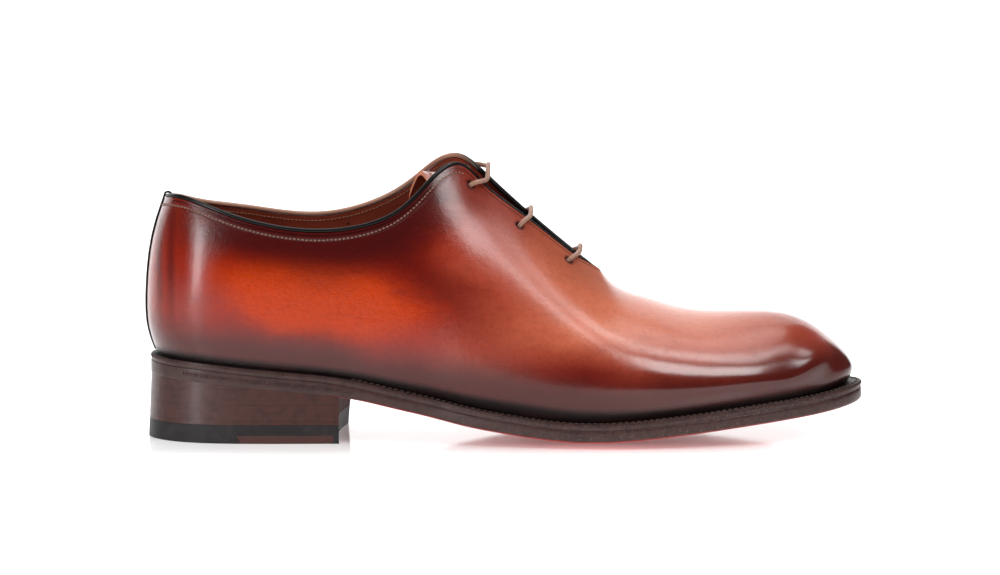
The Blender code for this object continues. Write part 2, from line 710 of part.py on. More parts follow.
def build_tongue(last, paint):
    rows = tongue_cage(last)
    count, width = rows.shape[:2]
    faces = [(r * width + i, r * width + i + 1, (r + 1) * width + i + 1, (r + 1) * width + i)
             for r in range(count - 1) for i in range(width - 1)]
    points = rows.reshape(-1, 3)
    cage = np.linalg.solve(limit_rules(len(points), faces), points)
    item = mesh_object("tongue", cage, faces, paint, sharp_angle=60)
    add_subdivision(item).levels = 1
    item.modifiers[0].render_levels = 1
    add_thickness(item, TONGUE_THICKNESS, offset=0.0)
    return item


def build_sole(last, paints):
    feather = last.feather_line(2)
    x, y = feather[:, 0], feather[:, 1]
    lips = np.array([lip(a, b) for a, b in zip(x, y)])
    edge = offset_plan(feather, lips)
    across = (0.0, 0.20, 0.39, 0.61, 0.80, 1.0)
    soft = 0.0006
    inner_edge = offset_plan(feather, lips - soft)

    def outsole_height(share):
        return lambda a, b: underside(a, b) + OUTSOLE_THICKNESS * share

    layers = [(inner_edge, outsole_height(0.0)), (edge, outsole_height(0.16)),
              (edge, outsole_height(0.84)), (inner_edge, outsole_height(1.0))]
    plate("outsole", layers, across, paints["outsole"])

    welt_edge = offset_plan(feather, lips - 0.4 * soft)
    welt_soft = offset_plan(feather, lips - 1.4 * soft)
    welt_inner = offset_plan(feather, -WELT_MARGIN)
    rings = []
    for k in range(len(feather)):
        def at(plan, share):
            a, b = plan[k]
            return np.array((a, b, float(welt_bottom(a, b)) + WELT_THICKNESS * share))
        rings.append([at(welt_inner, 0.0), at(welt_soft, 0.0), at(welt_edge, 0.3),
                      at(welt_edge, 0.7), at(welt_soft, 1.0), at(welt_inner, 1.0)])
    loop_solid("welt", rings, paints["welt"])

    filling = offset_plan(feather, -WELT_MARGIN - FIT)
    board = offset_plan(feather, -INSOLE_INSET)
    step = WELT_THICKNESS + FIT
    full = step + INSOLE_THICKNESS

    def insole_height(rise):
        return lambda a, b: welt_bottom(a, b) + rise

    layers = [(filling, insole_height(0.0)), (filling, insole_height(step)),
              (board, insole_height(step)), (board, insole_height(full))]
    plate("insole", layers, across, paints["insole"])


def build_heel(last, paints):
    feather = last.feather_line(3)
    lips = np.array([lip(a, b) for a, b in zip(feather[:, 0], feather[:, 1])])
    top = offset_plan(feather, lips - HEEL_INSET)
    joint = 1 - LIFT_THICKNESS / HEEL_HEIGHT
    middle = offset_plan(feather, lips - HEEL_INSET + joint * HEEL_FLARE)
    floor = offset_plan(feather, lips - HEEL_INSET + HEEL_FLARE)
    across = (0.0, 0.25, 0.5, 0.75, 1.0)
    rows = 14
    heel_plate("heel_stack", (middle, joint, lambda a, b: LIFT_THICKNESS + FIT),
               (top, 0.0, lambda a, b: underside(a, b) - FIT), across, rows, paints["heel"])

    lift_bottom = (floor, 1.0, lambda a, b: 0.0)
    lift_top = (middle, joint, lambda a, b: LIFT_THICKNESS)
    rubber = heel_plate("top_lift", lift_bottom, lift_top, across, rows, paints["rubber"])
    insert = heel_plate("top_lift_insert", lift_bottom, lift_top, across, rows, paints["insert"])
    pocket = LIFT_THICKNESS - LIFT_LAYER
    for item, gap, operation in ((rubber, 0.0, "DIFFERENCE"), (insert, FIT, "INTERSECT")):
        front = BREAST_LATERAL - LIFT_FRONT_WALL - gap
        box = wedge(item.name + "_cutter", LIFT_SPLIT + gap, front, pocket - gap, paints["rubber"])
        cut = item.modifiers.new("insert pocket", "BOOLEAN")
        cut.operation = operation
        cut.solver = "EXACT"
        cut.object = box


def wedge(name, start, end, height, paint):
    """Cutter for the insert's pocket, its rear face leaning forward to the floor."""
    wide, below = BALL_WIDTH, 0.01
    lean = LIFT_SLANT / (LIFT_THICKNESS - LIFT_LAYER)
    profile = [(start + lean * (height + below), -below), (end, -below), (end, height), (start, height)]
    points = [(x, y, z) for y in (-wide, wide) for x, z in profile]
    faces = [(0, 1, 2, 3), (7, 6, 5, 4), (0, 4, 5, 1), (1, 5, 6, 2), (2, 6, 7, 3), (3, 7, 4, 0)]
    cutter = mesh_object(name, points, faces, paint)
    cutter.hide_render = True
    cutter.display_type = "WIRE"
    return cutter


def lace_path(last):
    """One waxed lace: bars over the facings, joined by hidden runs under them."""
    holes = {side: eyelets(last, side) for side in SIDES}
    above = LACE_DIAMETER / 2 + 0.0009
    below = WALL + LACE_DIAMETER / 2 + 0.0006

    def hidden(side, start, end, drift):
        """Run under one facing from hole start to hole end, moved out from the edge by drift levels."""
        points = []
        (row_a, level_a, _), (row_b, level_b, _) = holes[side][start], holes[side][end]
        for t in (0.12, 0.3, 0.5, 0.7, 0.88):
            row = row_a + (row_b - row_a) * t
            level = level_a + (level_b - level_a) * t - drift * sin(pi * t)
            place, _, _, normal = last.read(row, level, side)
            points.append(place - normal * below)
        return points

    def through(side, hole, upward):
        row, level, _ = holes[side][hole]
        place, _, _, normal = last.read(row, level, side)
        heights = (-WALL - 0.0006, -WALL / 2, 0.0004)
        points = [place + normal * h for h in heights]
        return points if upward else points[::-1]

    def half_bar(side, hole, outward):
        row, level, edge_row = holes[side][hole]
        points = []
        for t in (0.25, 0.6, 1.0):
            place, _, up, normal = last.read(row + (edge_row - row) * t, level + (4.0 - level) * t, side)
            points.append(place + normal * (above + 0.4 * BAR_ARCHES[hole] * t))
        over_binding = place + normal * (above + 0.5 * BAR_ARCHES[hole]) + up * (FIT + BINDING_HEIGHT / 2)
        points.append(over_binding)
        return points if not outward else points[::-1]

    def bar(hole, start):
        end = "medial" if start == "lateral" else "lateral"
        first, second = half_bar(start, hole, False), half_bar(end, hole, True)
        middle = (first[-1] + second[0]) / 2 + np.array((0.0, 0.0, BAR_ARCHES[hole]))
        return through(start, hole, True) + first + [middle] + second + through(end, hole, False)

    tail = hidden("lateral", 0, 1, 0.0)[2::-1]
    path = [tail[0], tail[1], tail[2]] + bar(0, "lateral") + hidden("medial", 0, 1, 0.0) + bar(1, "medial")
    path += hidden("lateral", 1, 2, 0.0) + bar(2, "lateral")
    path += hidden("medial", 2, 0, 0.42)
    return np.array(path)


def smooth_route(points, spacing):
    """Places on a smooth curve through the points, with more between points that are far apart."""
    points = np.asarray(points)
    padded = np.vstack([2 * points[0] - points[1], points, 2 * points[-1] - points[-2]])
    route = []
    for a, b, c, d in zip(padded, padded[1:], padded[2:], padded[3:]):
        steps = max(1, int(round(np.linalg.norm(c - b) / spacing)))
        for t in np.arange(steps) / steps:
            bend = (2 * a - 5 * b + 4 * c - d) * t**2 + (3 * b - a - 3 * c + d) * t**3
            route.append(0.5 * (2 * b + (c - a) * t + bend))
    route.append(points[-1])
    return np.array(route)


def build_lace(last, paint):
    route = smooth_route(lace_path(last), 2.2 * LACE_DIAMETER)
    curve = bpy.data.curves.new("lace", "CURVE")
    curve.dimensions = "3D"
    curve.bevel_depth = LACE_DIAMETER / 2
    curve.bevel_resolution = 2
    curve.use_fill_caps = True
    strand = curve.splines.new("POLY")
    strand.points.add(len(route) - 1)
    for point, place in zip(strand.points, route):
        point.co = (*shoe_point(place), 1.0)
    curve.materials.append(paint)
    item = bpy.data.objects.new("lace", curve)
    bpy.context.scene.collection.objects.link(item)
    return item


def main():
    for item in list(bpy.data.objects):
        bpy.data.objects.remove(item, do_unlink=True)
    paints = {
        "upper": material("burnished calf", (0.36, 0.09, 0.03), 0.28),
        "binding": material("black calf piping", (0.012, 0.011, 0.012), 0.4),
        "tongue": material("tongue calf", (0.40, 0.15, 0.07), 0.35),
        "outsole": material("sole leather", (0.10, 0.045, 0.035), 0.45),
        "welt": material("dark welt leather", (0.03, 0.018, 0.015), 0.4),
        "insole": material("insole leather", (0.36, 0.16, 0.08), 0.6),
        "heel": material("stacked heel leather", (0.09, 0.04, 0.03), 0.4),
        "rubber": material("black lift rubber", (0.02, 0.02, 0.021), 0.6),
        "insert": material("lift leather", (0.10, 0.04, 0.03), 0.5),
        "lace": material("waxed tan lace", (0.42, 0.26, 0.18), 0.5),
    }
    last = Upper()
    build_upper(last, paints["upper"])
    build_binding(last, paints["binding"])
    build_back_strip(last, paints["binding"])
    build_tongue(last, paints["tongue"])
    build_sole(last, paints)
    build_heel(last, paints)
    build_lace(last, paints["lace"])


main()
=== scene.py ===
import math

import bmesh
import bpy
import numpy as np
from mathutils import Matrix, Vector


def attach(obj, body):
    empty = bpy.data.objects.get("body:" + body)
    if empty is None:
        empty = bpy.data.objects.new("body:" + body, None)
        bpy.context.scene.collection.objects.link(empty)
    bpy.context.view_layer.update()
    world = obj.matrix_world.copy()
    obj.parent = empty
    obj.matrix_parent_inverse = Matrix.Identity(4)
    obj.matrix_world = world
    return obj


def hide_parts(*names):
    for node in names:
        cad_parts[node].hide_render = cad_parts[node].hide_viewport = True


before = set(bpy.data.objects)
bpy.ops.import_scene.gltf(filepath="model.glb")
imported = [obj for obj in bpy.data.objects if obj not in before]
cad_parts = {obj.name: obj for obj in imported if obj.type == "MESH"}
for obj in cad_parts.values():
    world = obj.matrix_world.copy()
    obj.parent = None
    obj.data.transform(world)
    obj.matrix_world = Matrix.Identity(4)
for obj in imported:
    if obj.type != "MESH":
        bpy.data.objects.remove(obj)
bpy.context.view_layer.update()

# The last and the sole, in the source's own sizes: along is measured from the back of the outsole
last = {
    "length": 0.300, "ballWidth": 0.100, "instep": 0.100, "heelCentre": 0.030, "wall": 0.0019,
    "lowOut": 0.72, "lowUp": 0.40, "firstClosed": 12,
    # along, half width, wall out, wall up, then the shoulder's and the top edge's along, side and up,
    # as shares of the length, the ball's width and the instep
    "lateral": (
        (0.020, 0.135, 0.028, 0.21, 0.017, 0.142, 0.45, 0.035, 0.125, 0.662),
        (0.063, 0.260, 0.030, 0.22, 0.063, 0.276, 0.44, 0.067, 0.205, 0.654),
        (0.140, 0.306, 0.030, 0.22, 0.140, 0.328, 0.43, 0.140, 0.282, 0.604),
        (0.240, 0.304, 0.036, 0.23, 0.242, 0.334, 0.44, 0.243, 0.304, 0.589),
        (0.333, 0.302, 0.044, 0.25, 0.337, 0.334, 0.50, 0.343, 0.282, 0.702),
        (0.397, 0.320, 0.052, 0.25, 0.398, 0.336, 0.57, 0.400, 0.208, 0.892),
        (0.437, 0.354, 0.050, 0.24, 0.437, 0.338, 0.58, 0.438, 0.120, 0.976),
        (0.477, 0.390, 0.046, 0.22, 0.473, 0.346, 0.56, 0.473, 0.090, 0.908),
        (0.537, 0.436, 0.044, 0.205, 0.533, 0.370, 0.505, 0.528, 0.082, 0.807),
        (0.592, 0.466, 0.040, 0.191, 0.588, 0.389, 0.441, 0.592, 0.064, 0.673),
        (0.621, 0.479, 0.039, 0.184, 0.616, 0.391, 0.407, 0.614, 0.042, 0.631),
        (0.654, 0.486, 0.037, 0.175, 0.649, 0.388, 0.370, 0.634, 0.015, 0.595),
        (0.708, 0.474, 0.031, 0.157, 0.704, 0.368, 0.323, 0.697, -0.015, 0.463),
        (0.773, 0.434, 0.026, 0.14, 0.775, 0.312, 0.284, 0.767, -0.028, 0.387),
        (0.847, 0.363, 0.020, 0.126, 0.852, 0.241, 0.256, 0.857, -0.030, 0.353),
        (0.900, 0.284, 0.018, 0.120, 0.907, 0.174, 0.242, 0.913, -0.030, 0.310),
        (0.937, 0.208, 0.014, 0.145, 0.950, 0.105, 0.204, 0.955, -0.030, 0.222),
    ),
    "medial": (
        (0.020, 0.135, 0.028, 0.21, 0.017, 0.142, 0.45, 0.035, 0.120, 0.646),
        (0.063, 0.260, 0.030, 0.22, 0.063, 0.276, 0.44, 0.067, 0.205, 0.628),
        (0.140, 0.304, 0.030, 0.22, 0.140, 0.328, 0.43, 0.140, 0.282, 0.615),
        (0.240, 0.284, 0.046, 0.24, 0.242, 0.334, 0.46, 0.243, 0.304, 0.618),
        (0.333, 0.254, 0.066, 0.27, 0.337, 0.326, 0.56, 0.343, 0.270, 0.764),
        (0.397, 0.252, 0.076, 0.27, 0.398, 0.312, 0.63, 0.400, 0.175, 0.936),
        (0.437, 0.264, 0.078, 0.265, 0.437, 0.306, 0.65, 0.438, 0.085, 1.004),
        (0.477, 0.288, 0.080, 0.26, 0.475, 0.306, 0.62, 0.473, 0.020, 0.958),
        (0.537, 0.334, 0.074, 0.24, 0.530, 0.316, 0.55, 0.528, 0.020, 0.837),
        (0.592, 0.395, 0.059, 0.213, 0.588, 0.336, 0.472, 0.592, 0.012, 0.693),
        (0.621, 0.422, 0.052, 0.198, 0.616, 0.347, 0.431, 0.614, -0.002, 0.642),
        (0.654, 0.445, 0.044, 0.181, 0.649, 0.356, 0.384, 0.634, -0.015, 0.595),
        (0.708, 0.466, 0.033, 0.157, 0.704, 0.355, 0.327, 0.697, 0.015, 0.463),
        (0.773, 0.460, 0.026, 0.14, 0.775, 0.334, 0.286, 0.767, 0.028, 0.387),
        (0.847, 0.406, 0.020, 0.126, 0.852, 0.282, 0.256, 0.857, 0.030, 0.353),
        (0.900, 0.332, 0.018, 0.120, 0.907, 0.220, 0.242, 0.913, 0.030, 0.310),
        (0.937, 0.256, 0.014, 0.145, 0.950, 0.160, 0.204, 0.955, 0.030, 0.222),
    ),
    "back": {"along": 0.0100, "wallOut": 0.042, "wallUp": 0.22,
             "shoulderAlong": 0.0030, "shoulderUp": 0.455, "topAlong": 0.0220, "topUp": 0.652},
    # along and side of the feather line, then along, side and height of the point above it
    "front": (
        (0.9687, -0.110, 0.9740, -0.112, 0.086),
        (0.9843, 0.025, 0.9897, 0.025, 0.085),
        (0.9693, 0.165, 0.9747, 0.168, 0.088),
    ),
}
sole = {
    "heelHeight": 0.027, "toeSpring": 0.0148, "crown": 0.0026, "thickness": 0.0051, "welt": 0.0026,
    "fit": 0.0003, "joint": 0.00004, "weltReach": 0.0075,
    "lipHeel": 0.0027, "lipForepart": 0.0045, "lipToe": 0.0061,
    # share of the length, and of the heel's height behind or the toe's spring ahead
    "rear": ((0.000, 1.000), (0.077, 0.937), (0.133, 0.874), (0.217, 0.785), (0.273, 0.711), (0.313, 0.622),
             (0.353, 0.519), (0.397, 0.415), (0.437, 0.311), (0.493, 0.181), (0.533, 0.093), (0.570, 0.030),
             (0.600, 0.000)),
    "fore": ((0.640, 0.000), (0.683, 0.061), (0.713, 0.128), (0.767, 0.264), (0.823, 0.426),
             (0.880, 0.588), (0.940, 0.764), (1.000, 1.000)),
}
sides = {"lateral": -1.0, "medial": 1.0}


def spline(knots, values, x):
    knots, values = np.asarray(knots, float), np.asarray(values, float)
    x = np.clip(x, knots[0], knots[-1])
    step = np.diff(knots)
    slope = np.diff(values) / step
    system = np.eye(len(knots))
    target = np.zeros(len(knots))
    for i in range(1, len(knots) - 1):
        system[i, i - 1:i + 2] = step[i - 1], 2 * (step[i - 1] + step[i]), step[i]
        target[i] = 6 * (slope[i] - slope[i - 1])
    bend = np.linalg.solve(system, target)
    i = np.clip(np.searchsorted(knots, x, side="right") - 1, 0, len(step) - 1)
    a, b = knots[i + 1] - x, x - knots[i]
    curved = (bend[i] * a**3 + bend[i + 1] * b**3) / (6 * step[i])
    near = (values[i] / step[i] - bend[i] * step[i] / 6) * a
    far = (values[i + 1] / step[i] - bend[i + 1] * step[i] / 6) * b
    return curved + near + far


def ramp(x, low, high):
    t = np.clip((x - low) / (high - low), 0.0, 1.0)
    return t * t * (3 - 2 * t)


def unit(vector):
    return vector / np.linalg.norm(vector, axis=-1, keepdims=True)


def underside(x, y):  # the tread's height above the floor
    share = x / last["length"]
    rear = np.maximum(spline(*zip(*sole["rear"]), share), 0.0) * sole["heelHeight"]
    fore = np.maximum(spline(*zip(*sole["fore"]), share), 0.0) * sole["toeSpring"]
    flat, edge = 0.11 * last["ballWidth"], 0.52 * last["ballWidth"]
    rise = np.maximum(np.abs(y) - flat, 0.0) / (edge - flat)
    return rear + fore + sole["crown"] * rise**2 * ramp(share, 0.40, 0.58)


def weltBottom(x, y):
    return underside(x, y) + sole["thickness"] + sole["fit"]


def featherHeight(x, y):  # the line where the upper meets the welt
    return weltBottom(x, y) + sole["welt"] + sole["fit"]


def lip(x, y):  # how far the welt stands out from the feather line
    start, end = (0.24, 0.50) if y < 0 else (0.33, 0.62)
    share = x / last["length"]
    fore = (sole["lipForepart"] - sole["lipHeel"]) * ramp(share, start, end)
    toe = (sole["lipToe"] - sole["lipForepart"]) * ramp(share, 0.90, 0.98)
    return sole["lipHeel"] + fore + toe


def basis(t):  # weights of a uniform cubic B-spline and of its slope
    weights = np.array(((1 - t) ** 3, 3 * t**3 - 6 * t**2 + 4, -3 * t**3 + 3 * t**2 + 3 * t + 1, t**3)) / 6
    slopes = np.array((-((1 - t) ** 2), 3 * t**2 - 4 * t, -3 * t**2 + 2 * t + 1, t**2)) / 2
    return weights, slopes


def closedCurve(control, samples):
    places, directions = [], []
    for k in range(len(control)):
        block = control[[(k + i) % len(control) for i in (-1, 0, 1, 2)]]
        for s in range(samples):
            weights, slope = basis(s / samples)
            places.append(weights @ block)
            directions.append(slope @ block)
    return np.array(places), unit(np.array(directions))


def planNormals(points):  # outward in plan, for a closed line that runs the lateral side first
    ahead = np.roll(points, -1, axis=0) - np.roll(points, 1, axis=0)
    return unit(np.stack([ahead[:, 1], -ahead[:, 0]], axis=1))


def offsetPlan(line, distance):
    return line[:, :2] + planNormals(line[:, :2]) * np.reshape(distance, (-1, 1))


def lastCage():
    length, width, instep = last["length"], last["ballWidth"], last["instep"]
    back, lowOut, lowUp = last["back"], last["lowOut"], last["lowUp"]
    lateral, medial = last["lateral"], last["medial"]
    plan = [(back["along"] * length, 0.0)]
    plan += [(row[0] * length, -row[1] * width) for row in lateral]
    plan += [(row[0] * length, row[1] * width) for row in last["front"]]
    plan += [(row[0] * length, row[1] * width) for row in reversed(medial)]
    normals = planNormals(np.array(plan))
    points, faces, index = [], [], {}

    def keep(key, point):
        index[key] = len(points)
        points.append(np.array(point))

    def section(row, side, outward):
        along, half, wallOut, wallUp, shoulderX, shoulderY, shoulderZ, topX, topY, topZ = row
        x, y = along * length, side * half * width
        z = featherHeight(x, y)
        feather = np.array((x, y, z))
        out, up = np.array((*outward, 0.0)) * wallOut * width, np.array((0.0, 0.0, wallUp * instep))
        return [feather, feather + lowOut * out + lowUp * up, feather + out + up,
                np.array((shoulderX * length, side * shoulderY * width, z + shoulderZ * instep)),
                np.array((topX * length, side * topY * width, z + topZ * instep))]

    x = back["along"] * length
    z = featherHeight(x, 0.0)
    feather = np.array((x, 0.0, z))
    wall = np.array((x - back["wallOut"] * width, 0.0, z + back["wallUp"] * instep))
    low = feather + np.array((lowOut, 0.0, lowUp)) * (wall - feather)
    shoulder = (back["shoulderAlong"] * length, 0.0, z + back["shoulderUp"] * instep)
    top = (back["topAlong"] * length, 0.0, z + back["topUp"] * instep)
    for level, point in enumerate((feather, low, wall, shoulder, top)):
        keep((0, level), point)
    count = len(lateral)
    for row in range(1, count + 1):
        near = section(lateral[row - 1], -1.0, normals[row])
        far = section(medial[row - 1], 1.0, normals[-row])
        for level in range(5):
            if level == 4 and row >= last["firstClosed"]:
                keep((row, 4), (near[4] + far[4]) / 2)
                index[(-row, 4)] = index[(row, 4)]
            else:
                keep((row, level), near[level])
                keep((-row, level), far[level])
    for place, (along, side, lowAlong, lowSide, lowHeight) in enumerate(last["front"]):
        x, y = along * length, side * width
        z = featherHeight(x, y)
        keep(("front", place, 0), (x, y, z))
        keep(("front", place, 1), (lowAlong * length, lowSide * width, z + lowHeight * instep))
    for row in range(count):
        for level in range(4):
            up = level + 1
            near = [(row, level), (row + 1, level), (row + 1, up), (row, up)]
            far = [(-row, level), (-row - 1, level), (-row - 1, up), (-row, up)]
            faces.append([index[key] for key in near])
            faces.append([index[key] for key in reversed(far)])
    toe = [[index[(count, level)] for level in range(3)]]
    toe += [[index[("front", place, 0)], index[("front", place, 1)], index[key]]
            for place, key in enumerate(((count, 3), (count, 4), (-count, 3)))]
    toe += [[index[(-count, level)] for level in range(3)]]
    for left, right in zip(toe, toe[1:]):
        for level in range(2):
            faces.append([left[level], right[level], right[level + 1], left[level + 1]])
    return np.array(points), faces, index


def limitRules(count, faces):  # from a cage's points to their places on the subdivided surface
    edgeUsers = {}
    around = [[] for _ in range(count)]
    for face in faces:
        for i, corner in enumerate(face):
            ahead, across, behind = (face[(i + k) % 4] for k in (1, 2, 3))
            around[corner].append((ahead, across, behind))
            edgeUsers.setdefault(frozenset((corner, ahead)), []).append(corner)
    border = {edge for edge, users in edgeUsers.items() if len(users) == 1}
    matrix = np.zeros((count, count))
    for corner, ring in enumerate(around):
        beside = {other for edge in border if corner in edge for other in edge if other != corner}
        if beside:
            matrix[corner, corner] = 4 / 6
            for other in beside:
                matrix[corner, other] += 1 / 6
            continue
        valence = len(ring)
        whole = valence * (valence + 5)
        matrix[corner, corner] = valence * valence / whole
        for ahead, across, behind in ring:
            matrix[corner, ahead] += 2 / whole
            matrix[corner, behind] += 2 / whole
            matrix[corner, across] += 1 / whole
    return matrix


class LastSurface:  # the upper's outer face, read by row and level
    def __init__(self):
        points, self.faces, self.index = lastCage()
        self.cage = np.linalg.solve(limitRules(len(points), self.faces), points)
        self.rows = len(last["lateral"])

    def column(self, row, side):
        sign = 1 if side == "lateral" else -1
        points = [self.cage[self.index[(sign * row, level)]] for level in range(5)]
        if row >= last["firstClosed"]:
            beyond = self.cage[self.index[(-sign * row, 3)]]
        else:
            beyond = 2 * points[4] - points[3]
        return np.array([2 * points[0] - points[1]] + points + [beyond])

    def read(self, row, level, side):
        first = int(min(np.floor(row), self.rows - 2))
        other = "medial" if side == "lateral" else "lateral"
        columns = [self.column(-k, other) if k < 0 else self.column(k, side)
                   for k in range(first - 1, first + 3)]
        step = int(min(np.floor(level), 3))
        block = np.array(columns)[:, step:step + 4]
        along, alongSlope = basis(row - first)
        up, upSlope = basis(level - step)
        place = np.einsum("i,ijk,j->k", along, block, up)
        ahead = np.einsum("i,ijk,j->k", alongSlope, block, up)
        above = np.einsum("i,ijk,j->k", along, block, upSlope)
        normal = np.cross(ahead, above) * (1 if side == "lateral" else -1)
        return place, unit(ahead), unit(above), unit(normal)

    def rowAt(self, x, level, side):
        low, high = 0.0, float(last["firstClosed"] + 4)
        for _ in range(40):
            middle = (low + high) / 2
            if self.read(middle, level, side)[0][0] < x:
                low = middle
            else:
                high = middle
        return (low + high) / 2

    def below(self, row, distance, side):  # the place that far down the wall from the top edge
        place, top = None, self.read(row, 4.0, side)[0]
        for level in np.linspace(3.99, 2.0, 200):
            place = self.read(row, level, side)
            if np.linalg.norm(place[0] - top) >= distance:
                break
        return place

    def featherLine(self, samples):
        keys = [(row, 0) for row in range(self.rows + 1)]
        keys += [("front", place, 0) for place in range(3)]
        keys += [(-row, 0) for row in range(self.rows, 0, -1)]
        return closedCurve(np.array([self.cage[self.index[key]] for key in keys]), samples)[0]

    def rim(self, samples):  # collar and facings, closed, from the back round the lateral side
        closing = last["firstClosed"]
        keys = [(row, 4) for row in range(closing + 1)] + [(-row, 4) for row in range(closing - 1, 0, -1)]
        edge, across = [], []
        for row, level in keys:
            point = self.cage[self.index[(row, level)]]
            under = (closing + 1, 4) if row == closing else (row, 3)
            edge.append(point)
            across.append(point - self.cage[self.index[under]])
        line, ahead = closedCurve(np.array(edge), samples)
        across = closedCurve(np.array(across), samples)[0]
        across = unit(across - np.sum(across * ahead, axis=1)[:, None] * ahead)
        return line, ahead, across, unit(np.cross(ahead, across))


def inFrame(points):
    return np.asarray(points, float) - np.array((last["heelCentre"], 0.0, 0.0))


shoe = LastSurface()
print("last surface ready")


# Shader maths: a socket that can be added and multiplied in plain expressions
def plug(tree, slot, value):
    if isinstance(value, Wire):
        tree.links.new(value.socket, slot)
    elif isinstance(value, (tuple, list)):
        slot.default_value = (*value, 1.0) if len(slot.default_value) == 4 and len(value) == 3 else value
    else:
        slot.default_value = value


class Wire:
    def __init__(self, tree, socket):
        self.tree, self.socket = tree, socket

    def maths(self, operation, *values):
        node = self.tree.nodes.new("ShaderNodeMath")
        node.operation = operation
        for slot, value in zip(node.inputs, values):
            plug(self.tree, slot, value)
        return Wire(self.tree, node.outputs[0])

    def __add__(self, other):
        return self.maths("ADD", self, other)

    def __sub__(self, other):
        return self.maths("SUBTRACT", self, other)

    def __rsub__(self, other):
        return self.maths("SUBTRACT", other, self)

    def __mul__(self, other):
        return self.maths("MULTIPLY", self, other)

    def __abs__(self):
        return self.maths("ABSOLUTE", self)

    def __neg__(self):
        return self.maths("MULTIPLY", self, -1.0)

    def least(self, other):
        return self.maths("MINIMUM", self, other)

    def most(self, other):
        return self.maths("MAXIMUM", self, other)

    __radd__ = __add__
    __rmul__ = __mul__


class Finish:  # a material in the making
    def __init__(self, name, **constants):
        self.material = bpy.data.materials.new(name)
        self.material.use_nodes = True
        self.tree = self.material.node_tree
        self.shader = self.tree.nodes["Principled BSDF"]
        for slot, value in constants.items():
            plug(self.tree, self.shader.inputs[slot.replace("_", " ")], value)
        self.place = self.node("ShaderNodeTexCoord", {}, {}, "Object")
        self.x, self.y, self.z = (self.part(self.place, axis) for axis in range(3))

    def node(self, kind, settings, sockets, out=0):
        node = self.tree.nodes.new(kind)
        for name, value in settings.items():
            setattr(node, name, value)
        for slot, value in sockets.items():
            plug(self.tree, node.inputs[slot], value)
        return Wire(self.tree, node.outputs[out])

    def part(self, vector, axis):
        return self.node("ShaderNodeSeparateXYZ", {}, {0: vector}, axis)

    def attribute(self, name):
        return self.node("ShaderNodeAttribute", {"attribute_name": name}, {}, "Fac")

    def step(self, value, low, high):  # smooth 0 to 1 as value goes from low to high
        return self.node("ShaderNodeMapRange", {"interpolation_type": "SMOOTHSTEP"},
                         {"Value": value, "From Min": low, "From Max": high})

    def hump(self, value, centre, reach):  # 1 at the centre, 0 past the reach
        return 1.0 - self.step(abs(value - centre), 0.0, reach)

    def after(self, value, name):  # a step over one of the upper's named stretches
        return self.step(value, *stretches[name])

    def about(self, value, name):  # a hump over one of its named spots
        return self.hump(value, *spots[name])

    def noise(self, scale, detail, rough, stretch=(1.0, 1.0, 1.0), shift=(0.0, 0.0, 0.0)):
        place = self.node("ShaderNodeMapping", {},
                          {"Vector": self.place, "Location": shift, "Scale": stretch})
        return self.node("ShaderNodeTexNoise", {},
                         {"Vector": place, "Scale": scale, "Detail": detail, "Roughness": rough})

    def cells(self, scale):
        return self.node("ShaderNodeTexVoronoi", {}, {"Vector": self.place, "Scale": scale}, "Distance")

    def blend(self, factor, below, above):
        node = self.tree.nodes.new("ShaderNodeMix")
        node.data_type = "RGBA"
        plug(self.tree, node.inputs[0], factor)
        plug(self.tree, node.inputs[6], below)
        plug(self.tree, node.inputs[7], above)
        return Wire(self.tree, node.outputs[2])

    def relief(self, height, depth, strength):  # height in about 0 to 1, depth in metres
        return self.node("ShaderNodeBump", {}, {"Strength": strength, "Distance": depth, "Height": height})

    def wear(self, **sockets):
        for slot, value in sockets.items():
            plug(self.tree, self.shader.inputs[slot.replace("_", " ")], value)
        return self.material


# Meshes
def markPoints(mesh, marks):  # a number at every point, for the materials to read
    for key, values in marks.items():
        mark = mesh.attributes.new(key, "FLOAT", "POINT")
        mark.data.foreach_set("value", np.asarray(values, np.float32))


def meshObject(name, points, faces, materials, smooth=True, sharp=None, marks=None):
    mesh = bpy.data.meshes.new(name)
    mesh.from_pydata([tuple(point) for point in points], [], [list(face) for face in faces])
    for material in materials:
        mesh.materials.append(material)
    if smooth:
        mesh.shade_smooth()
        if sharp:
            mesh.set_sharp_from_angle(angle=math.radians(sharp))
    markPoints(mesh, marks or {})
    item = bpy.data.objects.new(name, mesh)
    bpy.context.scene.collection.objects.link(item)
    return item


def outwards(item, merge=True):  # merge doubles and turn the faces out
    body = bmesh.new()
    body.from_mesh(item.data)
    if merge:
        bmesh.ops.remove_doubles(body, verts=body.verts, dist=1e-6)
    bmesh.ops.recalc_face_normals(body, faces=body.faces)
    body.to_mesh(item.data)
    body.free()
    return item


def joined(low, high):  # the band of faces between two closed rows of points
    return [(low[i], low[(i + 1) % len(low)], high[(i + 1) % len(low)], high[i]) for i in range(len(low))]


def sheetFaces(rows):  # a sheet of rows of points, where the first and the last may be a single point
    faces = []
    for a, b in zip(rows, rows[1:]):
        if len(a) == 1:
            faces += [(a[0], b[i], b[i + 1]) for i in range(len(b) - 1)]
        elif len(b) == 1:
            faces += [(a[i + 1], a[i], b[0]) for i in range(len(a) - 1)]
        else:
            faces += [(a[i], b[i], b[i + 1], a[i + 1]) for i in range(len(a) - 1)]
    return faces


def sheetBorder(rows):
    return [row[0] for row in rows] + rows[-1][1:] + [row[-1] for row in rows[-2:0:-1]]


